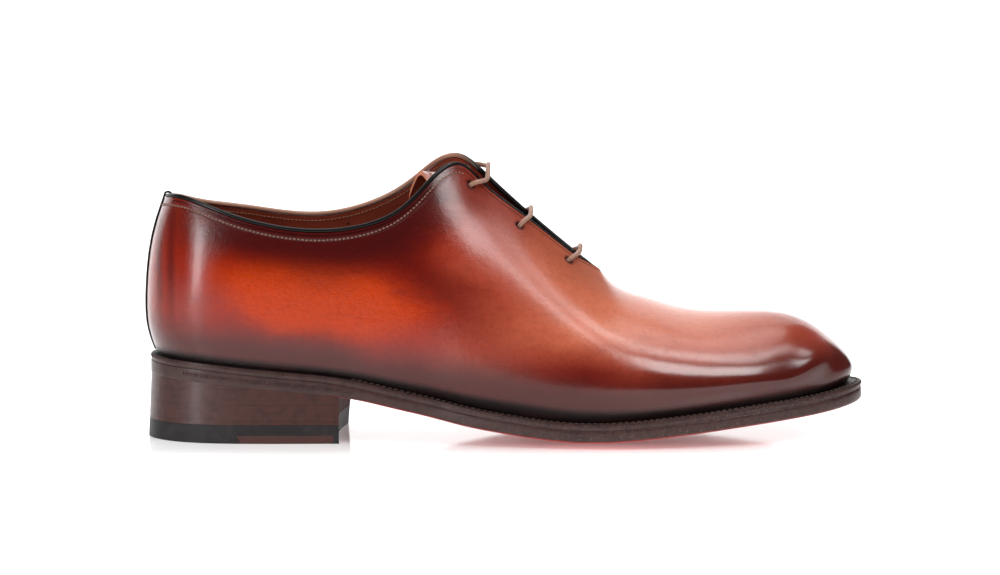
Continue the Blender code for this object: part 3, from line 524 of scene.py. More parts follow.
def sweptSolid(name, rings, material, closed=True, sharp=None, marks=None):
    count = len(rings[0])
    points = [point for ring in rings for point in ring]
    faces = []
    for r in range(len(rings) if closed else len(rings) - 1):
        here, there = r * count, ((r + 1) % len(rings)) * count
        faces += joined(range(here, here + count), range(there, there + count))
    if not closed:
        faces.append(tuple(range(count)))
        faces.append(tuple(reversed(range((len(rings) - 1) * count, len(rings) * count))))
    return outwards(meshObject(name, inFrame(points), faces, [material], sharp=sharp, marks=marks))


def baked(item):  # the evaluated result as a plain mesh in the same object
    plain = bpy.data.meshes.new_from_object(item.evaluated_get(bpy.context.evaluated_depsgraph_get()))
    plain.name = item.name
    item.modifiers.clear()
    item.data = plain
    return item


def oval(centre, first, second, halfFirst, halfSecond, count):
    return [centre + first * halfFirst * math.cos(a) + second * halfSecond * math.sin(a)
            for a in np.linspace(0, 2 * math.pi, count, endpoint=False)]


def settle(item, nodes=()):
    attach(item, "root")
    if nodes:
        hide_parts(*nodes)
    return item


# Stitches and wheel marks: a small mesh set along a path that carries its directions
def seamTree(name):
    tree = bpy.data.node_groups.new(name, "GeometryNodeTree")
    face = tree.interface
    face.new_socket("Geometry", in_out="INPUT", socket_type="NodeSocketGeometry")
    sockets = {}
    for label, kind, value in (("Pitch", "NodeSocketFloat", 0.002), ("Stitch", "NodeSocketObject", None),
                               ("Unevenness", "NodeSocketFloat", 0.1), ("Seed", "NodeSocketInt", 3),
                               ("Thread", "NodeSocketMaterial", None)):
        socket = face.new_socket(label, in_out="INPUT", socket_type=kind)
        if value is not None:
            socket.default_value = value
        sockets[label] = socket.identifier
    face.new_socket("Geometry", in_out="OUTPUT", socket_type="NodeSocketGeometry")

    def add(kind, settings=None, links=None):
        node = tree.nodes.new(kind)
        for key, value in (settings or {}).items():
            setattr(node, key, value)
        for slot, value in (links or {}).items():
            if isinstance(value, bpy.types.NodeSocket):
                tree.links.new(value, node.inputs[slot])
            else:
                node.inputs[slot].default_value = value
        return node

    start = add("NodeGroupInput")
    ahead = add("GeometryNodeInputNamedAttribute", {"data_type": "FLOAT_VECTOR"}, {"Name": "ahead"})
    outward = add("GeometryNodeInputNamedAttribute", {"data_type": "FLOAT_VECTOR"}, {"Name": "outward"})
    curve = add("GeometryNodeMeshToCurve", None, {"Mesh": start.outputs["Geometry"]})
    even = add("GeometryNodeResampleCurve", {"mode": "LENGTH"},
               {"Curve": curve.outputs[0], "Length": start.outputs["Pitch"]})
    facing = add("FunctionNodeAlignRotationToVector", {"axis": "Z"}, {"Vector": outward.outputs["Attribute"]})
    turned = add("FunctionNodeAlignRotationToVector", {"axis": "X", "pivot_axis": "Z"},
                 {"Rotation": facing.outputs[0], "Vector": ahead.outputs["Attribute"]})
    chance = add("FunctionNodeRandomValue", {"data_type": "FLOAT"}, {"Seed": start.outputs["Seed"]})
    spread = add("ShaderNodeMath", {"operation": "MULTIPLY_ADD"},
                 {0: chance.outputs[1], 1: start.outputs["Unevenness"], 2: 1.0})
    shape = add("GeometryNodeObjectInfo", None, {"Object": start.outputs["Stitch"]})
    placed = add("GeometryNodeInstanceOnPoints", None,
                 {"Points": even.outputs[0], "Instance": shape.outputs["Geometry"],
                  "Rotation": turned.outputs[0], "Scale": spread.outputs[0]})
    whole = add("GeometryNodeRealizeInstances", None, {"Geometry": placed.outputs[0]})
    paint = add("GeometryNodeSetMaterial", None,
                {"Geometry": whole.outputs[0], "Material": start.outputs["Thread"]})
    end = add("NodeGroupOutput")
    tree.links.new(paint.outputs[0], end.inputs[0])
    return tree, sockets


seamGroup, seamSockets = seamTree("stitch row")


stitch = {
    "rounds": 6,
    # along, girth and lift, as shares of the stitch's length, of its width and height, and of half its height
    "stations": ((-0.5, 0.25, -0.6), (-0.42, 0.75, -0.1), (-0.2, 1.0, 0.35),
                 (0.2, 1.0, 0.35), (0.42, 0.75, -0.1), (0.5, 0.25, -0.6)),
}


def stitchShape(name, length, width, height):
    rounds, stations = stitch["rounds"], stitch["stations"]
    points, faces = [], []
    for along, girth, lift in stations:
        for k in range(rounds):
            a = 2 * math.pi * k / rounds
            points.append((along * length, math.cos(a) * girth * width / 2,
                           math.sin(a) * girth * height / 2 + lift * height / 2))
    for s in range(len(stations) - 1):
        faces += joined(range(s * rounds, (s + 1) * rounds), range((s + 1) * rounds, (s + 2) * rounds))
    faces.append(tuple(range(rounds)))
    faces.append(tuple(reversed(range((len(stations) - 1) * rounds, len(stations) * rounds))))
    item = outwards(meshObject(name, points, faces, []))
    bpy.context.scene.collection.objects.unlink(item)
    return item


def seamRow(name, paths, row, thread):
    shape = stitchShape(name + " shape", row["length"], row["width"], row["height"])
    points, edges, ahead, outward = [], [], [], []
    for path, normals in paths:
        base = len(points)
        path, normals = np.asarray(path), unit(np.asarray(normals))
        directions = unit(np.gradient(path, axis=0))
        points += [tuple(p) for p in inFrame(path + normals * row["lift"])]
        ahead += list(directions)
        outward += list(normals)
        edges += [(base + k, base + k + 1) for k in range(len(path) - 1)]
    mesh = bpy.data.meshes.new(name)
    mesh.from_pydata(points, edges, [])
    for key, values in (("ahead", ahead), ("outward", outward)):
        mark = mesh.attributes.new(key, "FLOAT_VECTOR", "POINT")
        mark.data.foreach_set("vector", np.asarray(values, np.float32).ravel())
    item = bpy.data.objects.new(name, mesh)
    bpy.context.scene.collection.objects.link(item)
    rows = item.modifiers.new("stitch row", "NODES")
    rows.node_group = seamGroup
    for label, value in (("Pitch", row["pitch"]), ("Stitch", shape), ("Unevenness", row["unevenness"]),
                         ("Seed", row["seed"]), ("Thread", thread)):
        rows[seamSockets[label]] = value
    baked(item)
    item.data.shade_smooth()
    return settle(item)


# Leather of the upper, dyed by hand: a warm orange core, burnished dark at heel, collar, sole and toe, with
# painted shade in the crease at the welt, painted dark reflections in the counter's streaks and a painted
# sheen on the forepart's top
patina = {
    "glow": (0.45, 0.034, 0.0), "red": (0.25, 0.009, 0.001), "maroon": (0.044, 0.003, 0.003),
    "tan": (0.59, 0.155, 0.078), "instep": (0.33, 0.048, 0.024), "deep": (0.090, 0.004, 0.002),
    "plum": (0.050, 0.005, 0.004), "heel": (0.25, 0.022, 0.010), "toe": (0.24, 0.026, 0.013),
    "ball": (0.160, 0.011, 0.006), "tip": (0.33, 0.050, 0.030), "creaseShade": (0.004, 0.001, 0.001),
    "grainScale": 1300.0, "strokeScale": 60.0, "wrinkleScale": 330.0, "reliefDepth": 0.00080,
    "reliefStrength": 0.90, "stitchDrop": 0.0031, "grooveReach": 0.0009, "leastRoughness": 0.06,
}
stretches = {  # where a tone starts and is full, in metres ahead, up, or from an edge
    "instep": (0.075, 0.115), "fore": (0.110, 0.165), "foreUp": (0.026, 0.052), "valleyUp": (0.030, 0.075),
    "collar": (0.007, 0.027), "collarEnd": (0.088, 0.112), "counter": (-0.024, 0.002),
    "ballTop": (0.030, 0.048), "toe": (0.185, 0.240), "tip": (0.236, 0.256), "low": (0.006, 0.023),
    "lowShift": (0.070, 0.120),
    "creaseShade": (0.0012, 0.0048), "hole": (0.0018, 0.0034), "facing": (0.098, 0.106),
    "grainFades": (0.125, 0.195), "polish": (0.160, 0.215),
}
spots = {  # a tone's centre and reach, in metres
    "core": (0.042, 0.066), "coreUp": (0.0660, 0.0255), "valley": (0.082, 0.030), "ball": (0.150, 0.062),
    "firstStreakAndReflection": (-0.0248, 0.0026), "secondStreakAndReflection": (-0.0193, 0.0030), "streakAndReflectionUp": (0.076, 0.040),
    "deepCreaseShade": (0.130, 0.090), "collarLine": (0.0012, 0.0005), "facingLine": (0.0016, 0.0006),
    "flex": (0.185, 0.040), "flexUp": (0.0445, 0.0060), "matt": (0.125, 0.060),
}


def patinaColour(calf, x, z, marks, cloud, strokes):
    rimGap, soleGap, holeGap = marks
    after, about = calf.after, calf.about
    px = x + cloud * 0.030 + strokes * 0.010
    pz = z + cloud * 0.008 + strokes * 0.004
    colour = calf.blend(after(px, "instep"), patina["red"], patina["instep"])
    # a paler tan on the forepart's top: partly its own tone, partly a painted sheen for the broad reflection
    # there
    colour = calf.blend(after(px, "fore") * after(pz, "foreUp") * 0.95, colour, patina["tan"])
    # orange core of the quarter, falling a little towards the instep
    core = about(px, "core") * about(pz + px * 0.13, "coreUp")
    core = calf.step(core, 0.03, 0.62)
    colour = calf.blend(core, colour, patina["glow"])
    # dark valley from the collar down to the forepart
    valley = about(px + (pz - 0.075) * 0.95, "valley") * after(pz, "valleyUp")
    colour = calf.blend(valley * 0.80, colour, patina["deep"])
    collar = 1.0 - after(rimGap + cloud * 0.012, "collar")
    collar = collar * (1.0 - after(px, "collarEnd") * 0.72)
    colour = calf.blend(collar * 0.95, colour, patina["maroon"])
    colour = calf.blend((1.0 - after(px, "counter")) * 0.60, colour, patina["heel"])
    # two dark streaks down the counter: patina, and painted dark reflections
    back = x + strokes * 0.0030
    streaksAndReflections = (about(back, "firstStreakAndReflection") + about(back, "secondStreakAndReflection")) * about(z, "streakAndReflectionUp")
    colour = calf.blend(streaksAndReflections.least(1.0) * 0.60, colour, patina["maroon"])
    ball = about(px, "ball") * (1.0 - after(pz, "ballTop"))
    colour = calf.blend(ball * 0.95, colour, patina["ball"])
    colour = calf.blend(after(px - pz * 0.25, "toe") * 0.85, colour, patina["toe"])
    colour = calf.blend(after(px, "tip"), colour, patina["tip"])
    low = 1.0 - after(soleGap + cloud * 0.012 - after(px, "lowShift") * 0.004, "low")
    colour = calf.blend(low * 0.92, colour, patina["plum"])
    # painted shade: near black in the crease where the upper meets the welt, in a wider band along the middle
    # of the foot, and less glossy there
    creaseShade = 1.0 - after(soleGap - about(px, "deepCreaseShade") * 0.0024, "creaseShade")
    colour = calf.blend(creaseShade, colour, patina["creaseShade"])
    hole = 1.0 - after(holeGap, "hole")
    colour = calf.blend(hole * 0.8, colour, patina["maroon"])
    colour = calf.blend(calf.step(strokes, 0.02, 0.42) * 0.40, colour, patina["deep"])
    return colour, core, creaseShade, hole


def upperLeather():
    calf = Finish("burnished calf", Coat_IOR=1.5, Coat_Roughness=0.20, Specular_IOR_Level=0.25)
    marks = [calf.attribute(name) for name in ("rimGap", "soleGap", "holeGap")]
    cloud = calf.noise(28.0, 4.0, 0.55, (1.0, 1.0, 1.6)) - 0.5
    strokes = calf.noise(patina["strokeScale"], 4.0, 0.6, (0.5, 1.0, 2.4), (0.3, 0.1, 0.7)) - 0.5
    fine = calf.noise(520.0, 3.0, 0.65) - 0.5
    colour, core, creaseShade, hole = patinaColour(calf, calf.x, calf.z, marks, cloud, strokes)
    colour = calf.blend(calf.step(fine, -0.10, 0.30) * 0.20, colour, patina["maroon"])
    rimGap, facing = marks[0], calf.after(calf.x, "facing")
    # thin dark crease lines below the piping, in the same near black as the painted crease shade
    edgeLine = calf.about(rimGap, "facingLine") * facing + calf.about(rimGap, "collarLine") * (1.0 - facing)
    colour = calf.blend(edgeLine * 0.75, colour, patina["creaseShade"])
    grain = calf.noise(patina["grainScale"], 3.0, 0.65)
    wrinkle = calf.noise(patina["wrinkleScale"], 3.0, 0.6, (1.0, 1.0, 1.3))
    grainArea = 1.0 - calf.after(calf.x, "grainFades") * 0.70
    groove = calf.hump(rimGap, patina["stitchDrop"], patina["grooveReach"]) * (1.0 - facing)
    flex = calf.about(calf.z + calf.noise(18.0, 2.0, 0.5) * 0.010, "flexUp") * calf.about(calf.x, "flex")
    folds = calf.noise(110.0, 2.0, 0.5, (2.2, 0.6, 0.7), (0.2, 0.0, 0.4)) * flex
    height = (wrinkle * 0.19 + grain * 0.16) * grainArea + calf.noise(45.0, 2.0, 0.5) * 0.5
    height = height - groove * 0.5 + folds * 0.45
    relief = calf.relief(height, patina["reliefDepth"], patina["reliefStrength"])
    polish = calf.after(calf.x, "polish")
    matt = calf.about(calf.x, "matt")
    sheen = 0.13 + matt * 0.13 + polish * 0.01 + cloud * 0.06 + fine * 0.05
    polished = (0.50 + cloud * 0.20 - hole * 0.2 - core * 0.35 - matt * 0.15) * (1.0 - creaseShade * 0.9)
    return calf.wear(Base_Color=colour, Roughness=sheen.most(patina["leastRoughness"]) + creaseShade * 0.3,
                     Coat_Weight=polished.most(0.0), Normal=relief)


def liningLeather():
    hide = Finish("lining leather", Specular_IOR_Level=0.3)
    cloud = hide.noise(45.0, 4.0, 0.6)
    grain = hide.noise(700.0, 3.0, 0.6)
    tone = hide.blend(hide.step(cloud, 0.35, 0.75), (0.25, 0.045, 0.020), (0.17, 0.028, 0.013))
    tone = hide.blend(1.0 - hide.step(hide.attribute("pinGap"), 0.0004, 0.0009), tone, (0.010, 0.003, 0.002))
    return hide.wear(Base_Color=tone, Roughness=grain * 0.16 + 0.42, Normal=hide.relief(grain, 0.00015, 0.6))


def plainLeather(name, colour, dark, rough, coat=0.0, specular=0.35):
    hide = Finish(name, Coat_Roughness=0.2, Specular_IOR_Level=specular)
    cloud = hide.noise(45.0, 4.0, 0.6)
    grain = hide.noise(260.0, 3.0, 0.6) * 0.6 + hide.cells(780.0) * 0.4
    tone = hide.blend(hide.step(cloud, 0.35, 0.75), colour, dark)
    return hide.wear(Base_Color=tone, Roughness=grain * 0.16 + (rough - 0.08), Coat_Weight=coat,
                     Normal=hide.relief(grain, 0.00012, 0.6))


blacks = ((0.004, 0.003, 0.003), (0.008, 0.005, 0.005))
calf = upperLeather()
lining = liningLeather()
piping = plainLeather("black piping", *blacks, 0.30, coat=0.40, specular=0.0)
print("leathers ready")


# Upper: one sheet over the last with its lining, six punched holes
def eyelets(side):
    # leads are how far ahead of a hole the lace crosses the edge
    facing = {"along": (0.1357, 0.1562, 0.1769), "leads": (0.0052, 0.0036, 0.0032), "inset": 0.0068}
    places = []
    for x, lead in zip(facing["along"], facing["leads"]):
        edgeRow = shoe.rowAt(x + lead, 4.0, side)
        edge = shoe.read(edgeRow, 4.0, side)[0]
        for level in np.linspace(3.95, 3.0, 96):
            row = shoe.rowAt(x, level, side)
            if np.linalg.norm(shoe.read(row, level, side)[0] - edge) >= facing["inset"]:
                break
        places.append((row, level, edgeRow))
    return places


holes = {side: eyelets(side) for side in sides}


def nearest(points, line):  # each point's distance from a line's points, in blocks to spare memory
    gap, block = np.empty(len(points)), 4000
    for start in range(0, len(points), block):
        apart = points[start:start + block, None, :] - line[None, :, :]
        gap[start:start + block] = np.sqrt((apart ** 2).sum(axis=2).min(axis=1))
    return gap


def buildUpper():
    sheet = {"subdivisions": 4, "hole": 0.0034, "holeSides": 28, "pins": (0.038, 0.054, 0.083),
             "pinDrop": 0.0052}
    item = outwards(meshObject("upper_leather", inFrame(shoe.cage), shoe.faces, [calf, lining]))
    form = item.modifiers.new("last", "SUBSURF")
    form.levels = form.render_levels = sheet["subdivisions"]
    wall = item.modifiers.new("wall", "SOLIDIFY")
    wall.thickness, wall.offset = last["wall"], -1.0
    wall.material_offset, wall.material_offset_rim = 1, 0
    reach = 3 * last["wall"]
    points, faces = [], []
    count, radius = sheet["holeSides"], sheet["hole"] / 2
    for side in sides:
        for row, level, _ in holes[side]:
            place, _, up, normal = shoe.read(row, level, side)
            first = unit(np.cross(normal, up))
            second = np.cross(normal, first)
            start = len(points)
            for end in (-reach - last["wall"], reach):
                points += oval(place + normal * end, first, second, radius, radius, count)
            faces += joined(range(start, start + count), range(start + count, start + 2 * count))
            faces.append(tuple(range(start, start + count)))
            faces.append(tuple(range(start + 2 * count - 1, start + count - 1, -1)))
    cutter = outwards(meshObject("punch", inFrame(points), faces, [piping]))
    punch = item.modifiers.new("holes", "BOOLEAN")
    punch.operation, punch.solver, punch.object = "DIFFERENCE", "EXACT", cutter
    baked(item)
    bpy.data.objects.remove(cutter, do_unlink=True)
    mesh = item.data
    mesh.shade_smooth()
    mesh.set_sharp_from_angle(angle=math.radians(50))
    places = np.empty(len(mesh.vertices) * 3, np.float32)
    mesh.vertices.foreach_get("co", places)
    places = places.reshape(-1, 3) + np.array((last["heelCentre"], 0.0, 0.0))
    centres = np.array([shoe.read(row, level, side)[0] for side in sides for row, level, _ in holes[side]])
    pins = []
    for x in sheet["pins"]:  # pinholes in the lining of the far side, from inside
        place, _, _, normal = shoe.below(shoe.rowAt(x, 4.0, "medial"), sheet["pinDrop"], "medial")
        pins.append(place - normal * last["wall"])
    pins = np.array(pins)
    marks = {
        "rimGap": nearest(places, shoe.rim(16)[0]),
        "soleGap": places[:, 2] - featherHeight(places[:, 0], places[:, 1]),
        "holeGap": nearest(places, centres),
        "pinGap": nearest(places, pins),
    }
    markPoints(mesh, marks)
    return settle(item, ["upper"])


print("upper", len(buildUpper().data.polygons), "faces")

binding = {"height": 0.0019, "width": 0.0021, "gap": 0.00005, "samples": 10, "sides": 20, "least": 0.0006,
           "spare": 0.0002}


def edgePiping():  # black outside, the lining's pale cut edge inside
    edge = Finish("collar piping", Specular_IOR_Level=0.0, Coat_Roughness=0.2, Coat_Weight=0.40)
    cloud = edge.noise(45.0, 4.0, 0.6)
    grain = edge.noise(900.0, 3.0, 0.6)
    tone = edge.blend(edge.step(cloud, 0.35, 0.75), *blacks)
    inner = edge.step(edge.attribute("inward") + grain * 0.15, -0.10, 0.22)
    inner = inner * (1.0 - edge.step(edge.x, 0.095, 0.110))  # the facings' piping is black right through
    tone = edge.blend(inner, tone, edge.blend(cloud, (0.52, 0.30, 0.22), (0.34, 0.16, 0.10)))
    return edge.wear(Base_Color=tone, Roughness=inner * 0.3 + 0.30, Normal=edge.relief(grain, 0.0001, 0.6))


# Piping on the collar and the facings, down to the point of the throat
def buildPiping():
    line, _, across, normal = shoe.rim(binding["samples"])
    count, tip = len(line), binding["samples"] * last["firstClosed"]
    rings = []
    for k in range(count):
        here, opposite = (tip + k) % count, (tip - k) % count
        height, width = binding["height"], binding["width"]
        if min(k, count - k) < 4 * binding["samples"]:  # thinner where the two sides meet at the throat
            room = np.linalg.norm(line[here] - line[opposite]) / 2 - binding["spare"]
            height = min(height, max(room, binding["least"]))
            width = width * (0.6 + 0.4 * height / binding["height"])
        centre = line[here] - normal[here] * last["wall"] / 2 + across[here] * (binding["gap"] + height / 2)
        rings.append(oval(centre, normal[here], across[here], width / 2, height / 2, binding["sides"]))
    inward = [-math.cos(a) for a in np.linspace(0, 2 * math.pi, binding["sides"], endpoint=False)] * count
    piece = sweptSolid("collar_piping", rings, edgePiping(), marks={"inward": inward})
    return settle(piece, ["topline_binding"])


buildPiping()


def buildBackStrip():
    strip = {"width": 0.0018, "thickness": 0.0008, "tail": 0.0070, "lift": 0.00005, "clear": 0.0001}
    # side and depth of its section's points, as shares of half its width and thickness
    section = ((-0.75, -1), (0.75, -1), (1.0, -0.5), (1.0, 0.3), (0.7, 1.0), (0, 1.25),
               (-0.7, 1.0), (-1.0, 0.3), (-1.0, -0.5))
    half = strip["thickness"] / 2
    path = []
    for level in np.linspace(0.12, 3.97, 60):
        place, _, _, normal = shoe.read(0.0, level, "lateral")
        path.append((place + normal * (strip["lift"] + half), normal))
    line, _, across, normal = shoe.rim(4)
    centre = line[0] - normal[0] * last["wall"] / 2 + across[0] * (binding["spare"] + binding["height"] / 2)
    reach = binding["width"] / 2 + strip["clear"] + half
    for angle in np.linspace(0.08 * math.pi, 0.92 * math.pi, 14):
        out = normal[0] * math.cos(angle) + across[0] * math.sin(angle)
        path.append((centre + out * reach, out))
    inner = last["wall"] + binding["spare"] + half
    for share in np.linspace(0.15, 1.0, 6):
        path.append((line[0] - normal[0] * inner - across[0] * strip["tail"] * share, -normal[0]))
    wide = np.array((0.0, 1.0, 0.0))
    rings = []
    for place, out in path:
        rings.append([place + wide * strip["width"] / 2 * s + out * half * t for s, t in section])
    item = sweptSolid("back_seam_strip", rings, piping, closed=False, sharp=50)
    return settle(item, ["back_strip"])


buildBackStrip()
print("piping and back strip")


# Tongue
tongueShape = {
    # along, side and up of the free end's two rows, as shares of the length, the ball's width and the instep
    "end": (((0.400, -0.170, 0.985), (0.393, -0.100, 1.060), (0.383, 0.005, 1.105), (0.372, 0.115, 1.060),
             (0.366, 0.175, 0.975)),
            ((0.420, -0.180, 0.975), (0.416, -0.105, 1.055), (0.410, -0.005, 1.105), (0.404, 0.110, 1.070),
             (0.400, 0.175, 0.990))),
    "rows": (7.25, 8.0, 9.0, 10.0, 11.5, 12.6), "levels": (3.30, 3.72), "crown": 0.0012, "thickness": 0.0018,
    "room": 0.0040,
}


def buildTongue():
    depth = last["wall"] + tongueShape["room"] + tongueShape["thickness"] / 2
    scale = np.array((last["length"], last["ballWidth"], last["instep"]))
    rows = [[np.array(point) * scale for point in row] for row in tongueShape["end"]]
    outer, inner = tongueShape["levels"]
    for row in tongueShape["rows"]:
        points = {}
        for side in sides:
            for level in (outer, inner, 4.0):
                place, _, _, normal = shoe.read(row, level, side)
                points[(side, level)] = place - normal * depth
        middle = (points[("lateral", 4.0)] + points[("medial", 4.0)]) / 2
        middle[2] += tongueShape["crown"]
        rows.append([points[("lateral", outer)], points[("lateral", inner)], middle,
                     points[("medial", inner)], points[("medial", outer)]])
    rows = np.array(rows)
    count, width = rows.shape[:2]
    faces = [(r * width + i, r * width + i + 1, (r + 1) * width + i + 1, (r + 1) * width + i)
             for r in range(count - 1) for i in range(width - 1)]
    points = rows.reshape(-1, 3)
    cage = np.linalg.solve(limitRules(len(points), faces), points)
    top = plainLeather("tongue calf", (0.30, 0.075, 0.042), (0.20, 0.045, 0.028), 0.30, coat=0.5)
    back = plainLeather("tongue back", (0.25, 0.045, 0.020), (0.17, 0.028, 0.013), 0.5)
    cut = plainLeather("cut edge", (0.62, 0.17, 0.045), (0.45, 0.10, 0.03), 0.6)
    item = outwards(meshObject("tongue_leather", inFrame(cage), faces, [top, back, cut]))
    form = item.modifiers.new("form", "SUBSURF")
    form.levels = form.render_levels = 4
    wall = item.modifiers.new("wall", "SOLIDIFY")
    wall.thickness, wall.offset = tongueShape["thickness"], 0.0
    wall.material_offset, wall.material_offset_rim = 1, 2
    baked(item)
    item.data.shade_smooth()
    item.data.set_sharp_from_angle(angle=math.radians(50))
    settle(item, ["tongue"])
    return rows


tongueRows = buildTongue()
print("tongue")


# Welt, outsole, heel
def soleEdge(name, colour, dark):
    edge = Finish(name, Coat_Roughness=0.22, Specular_IOR_Level=0.3)
    lines = edge.noise(700.0, 2.0, 0.6, (0.12, 0.12, 1.6))
    speck = edge.noise(260.0, 4.0, 0.65)
    tone = edge.blend(edge.step(speck, 0.35, 0.75), colour, dark)
    tone = edge.blend(edge.step(lines, 0.45, 0.8) * 0.4, tone, tuple(c * 0.5 for c in colour))
    facing = edge.node("ShaderNodeNewGeometry", {}, {}, "True Normal")
    return edge, lines, speck, tone, facing


def soleLeather():
    edge, lines, speck, tone, facing = soleEdge("sole leather", (0.052, 0.021, 0.017), (0.026, 0.010, 0.008))
    # painted red underneath, ahead of the heel
    under = edge.step(-edge.part(facing, 2), 0.55, 0.80) * edge.step(edge.x, 0.046, 0.050)
    tone = edge.blend(under, tone, (0.72, 0.026, 0.016))
    # painted highlights: pale specks along the sole's edge from the waist to the ball, a little glossier
    # there
    speckHighlight = edge.step(edge.noise(1500.0, 2.0, 0.6), 0.56, 0.70) * edge.step(edge.x, 0.060, 0.180)
    tone = edge.blend(speckHighlight * (1.0 - under) * 0.35, tone, (0.20, 0.13, 0.115))
    return edge.wear(Base_Color=tone, Roughness=speck * 0.2 + 0.34 - under * 0.05,
                     Coat_Weight=speckHighlight * 0.25 + 0.15,
                     Normal=edge.relief(lines * 0.5 + speck * 0.5, 0.00010, 0.6))


def heelLeather():
    edge, lines, speck, tone, facing = soleEdge("heel leather", (0.060, 0.018, 0.014), (0.034, 0.010, 0.008))
    layer = edge.node("ShaderNodeTexWave", {"bands_direction": "Z"},
                      {"Vector": edge.place, "Scale": 48.0, "Distortion": 0.4, "Detail": 2.0,
                       "Detail Scale": 3.0})
    seam = edge.step(layer, 0.90, 0.99)
    tone = edge.blend(seam * 0.22, tone, (0.03, 0.012, 0.010))
    # the breast: its red paint, darkened nearly to black as painted shade, and rougher
    front = edge.step(edge.part(facing, 0), 0.6, 0.85)  # the breast
    tone = edge.blend(front, tone, (0.060, 0.003, 0.003))
    return edge.wear(Base_Color=tone, Roughness=speck * 0.2 + 0.34 + front * 0.3,
                     Coat_Weight=0.22 - front * 0.2,
                     Normal=edge.relief(lines * 0.35 + speck * 0.4 - seam * 0.5, 0.00012, 0.6))


soleHide, heelHide = soleLeather(), heelLeather()
weltDark = plainLeather("dark welt top", (0.006, 0.003, 0.003), (0.012, 0.005, 0.004), 0.55)
feather = shoe.featherLine(12)
lips = np.array([lip(a, b) for a, b in feather[:, :2]])


def buildWelt():
    ring = {"soft": 0.0006, "topFrom": 0.7}
    rings = []
    outer = {share: offsetPlan(feather, lips - ring["soft"] * share) for share in (0.4, 0.6, 0.75, 1.4, 2.6)}
    inner = offsetPlan(feather, -sole["weltReach"])
    low = sole["joint"] - sole["fit"]  # down on to the outsole

    def at(place, share, extra=0.0):
        return np.array((*place, float(weltBottom(*place)) + sole["welt"] * share + extra))

    for k in range(len(feather)):
        inside, edge, under, turn = inner[k], outer[0.4][k], outer[0.6][k], outer[0.75][k]
        rings.append([at(inside, 0.0), at(turn, 0.0, low), at(under, 0.0, low), at(edge, 0.06, low / 2),
                      at(edge, 0.45), at(edge, 0.78), at(turn, 0.95), at(outer[1.4][k], 1.0),
                      at(outer[2.6][k], 1.0), at(inside, 1.0)])
    item = sweptSolid("welt_strip", rings, soleHide, sharp=40)
    item.data.materials.append(weltDark)
    for face in item.data.polygons:
        if face.normal.z > ring["topFrom"]:
            face.material_index = 1
    return settle(item, ["welt"])


def rowsAcross(outline, shares):
    half = len(outline) // 2
    rows = [[outline[0]]]
    for near, far in zip(outline[1:half], outline[:half:-1]):
        rows.append([near + (far - near) * t for t in shares])
    rows.append([outline[half]])
    return rows


def buildOutsole():
    bend = {"soft": 0.0007, "heelSoft": 0.12, "heelEnd": (0.070, 0.095), "shares": np.linspace(0, 1, 17)}
    # inset as a share of the softness, and height as a share of the thickness, from the tread up
    rounding = ((1.6, 0.0), (0.9, 0.02), (0.25, 0.12), (0.0, 0.28), (0.0, 0.72), (0.1, 0.96), (0.4, 1.0))
    fore = ramp(feather[:, 0], *bend["heelEnd"])  # the edge is square where the heel meets it
    softness = bend["soft"] * (bend["heelSoft"] + (1 - bend["heelSoft"]) * fore)
    outlines = [(offsetPlan(feather, lips - softness * inset), share) for inset, share in rounding]
    points, faces = [], []

    def height(a, b, share):
        return float(underside(a, b)) + sole["thickness"] * share

    def grid(outline, share):
        index = []
        for row in rowsAcross(outline, bend["shares"]):
            index.append([])
            for a, b in row:
                index[-1].append(len(points))
                points.append((a, b, height(a, b, share)))
        return index

    bottom, top = grid(*outlines[0]), grid(*outlines[-1])
    faces += sheetFaces(bottom) + sheetFaces(top)
    borders = [sheetBorder(bottom)]
    for outline, share in outlines[1:-1]:
        start = len(points)
        points.extend((a, b, height(a, b, share)) for a, b in outline)
        borders.append(list(range(start, len(points))))
    borders.append(sheetBorder(top))
    for low, high in zip(borders, borders[1:]):
        faces += joined(low, high)
    item = outwards(meshObject("outsole_bend", inFrame(points), faces, [soleHide], sharp=50))
    return settle(item, ["outsole"])


buildWelt()
buildOutsole()
print("welt and outsole")

heel = {"lift": 0.0077, "inset": 0.0002, "flare": 0.0013, "lateral": 0.0810, "medial": 0.0846, "rake": 0.0021,
        "hollow": 0.0025, "rows": 40, "across": 13, "insertRoom": 0.0004, "insertFoot": 0.001}
heelJoint = 1 - heel["lift"] / sole["heelHeight"]  # how far down the heel the top lift starts


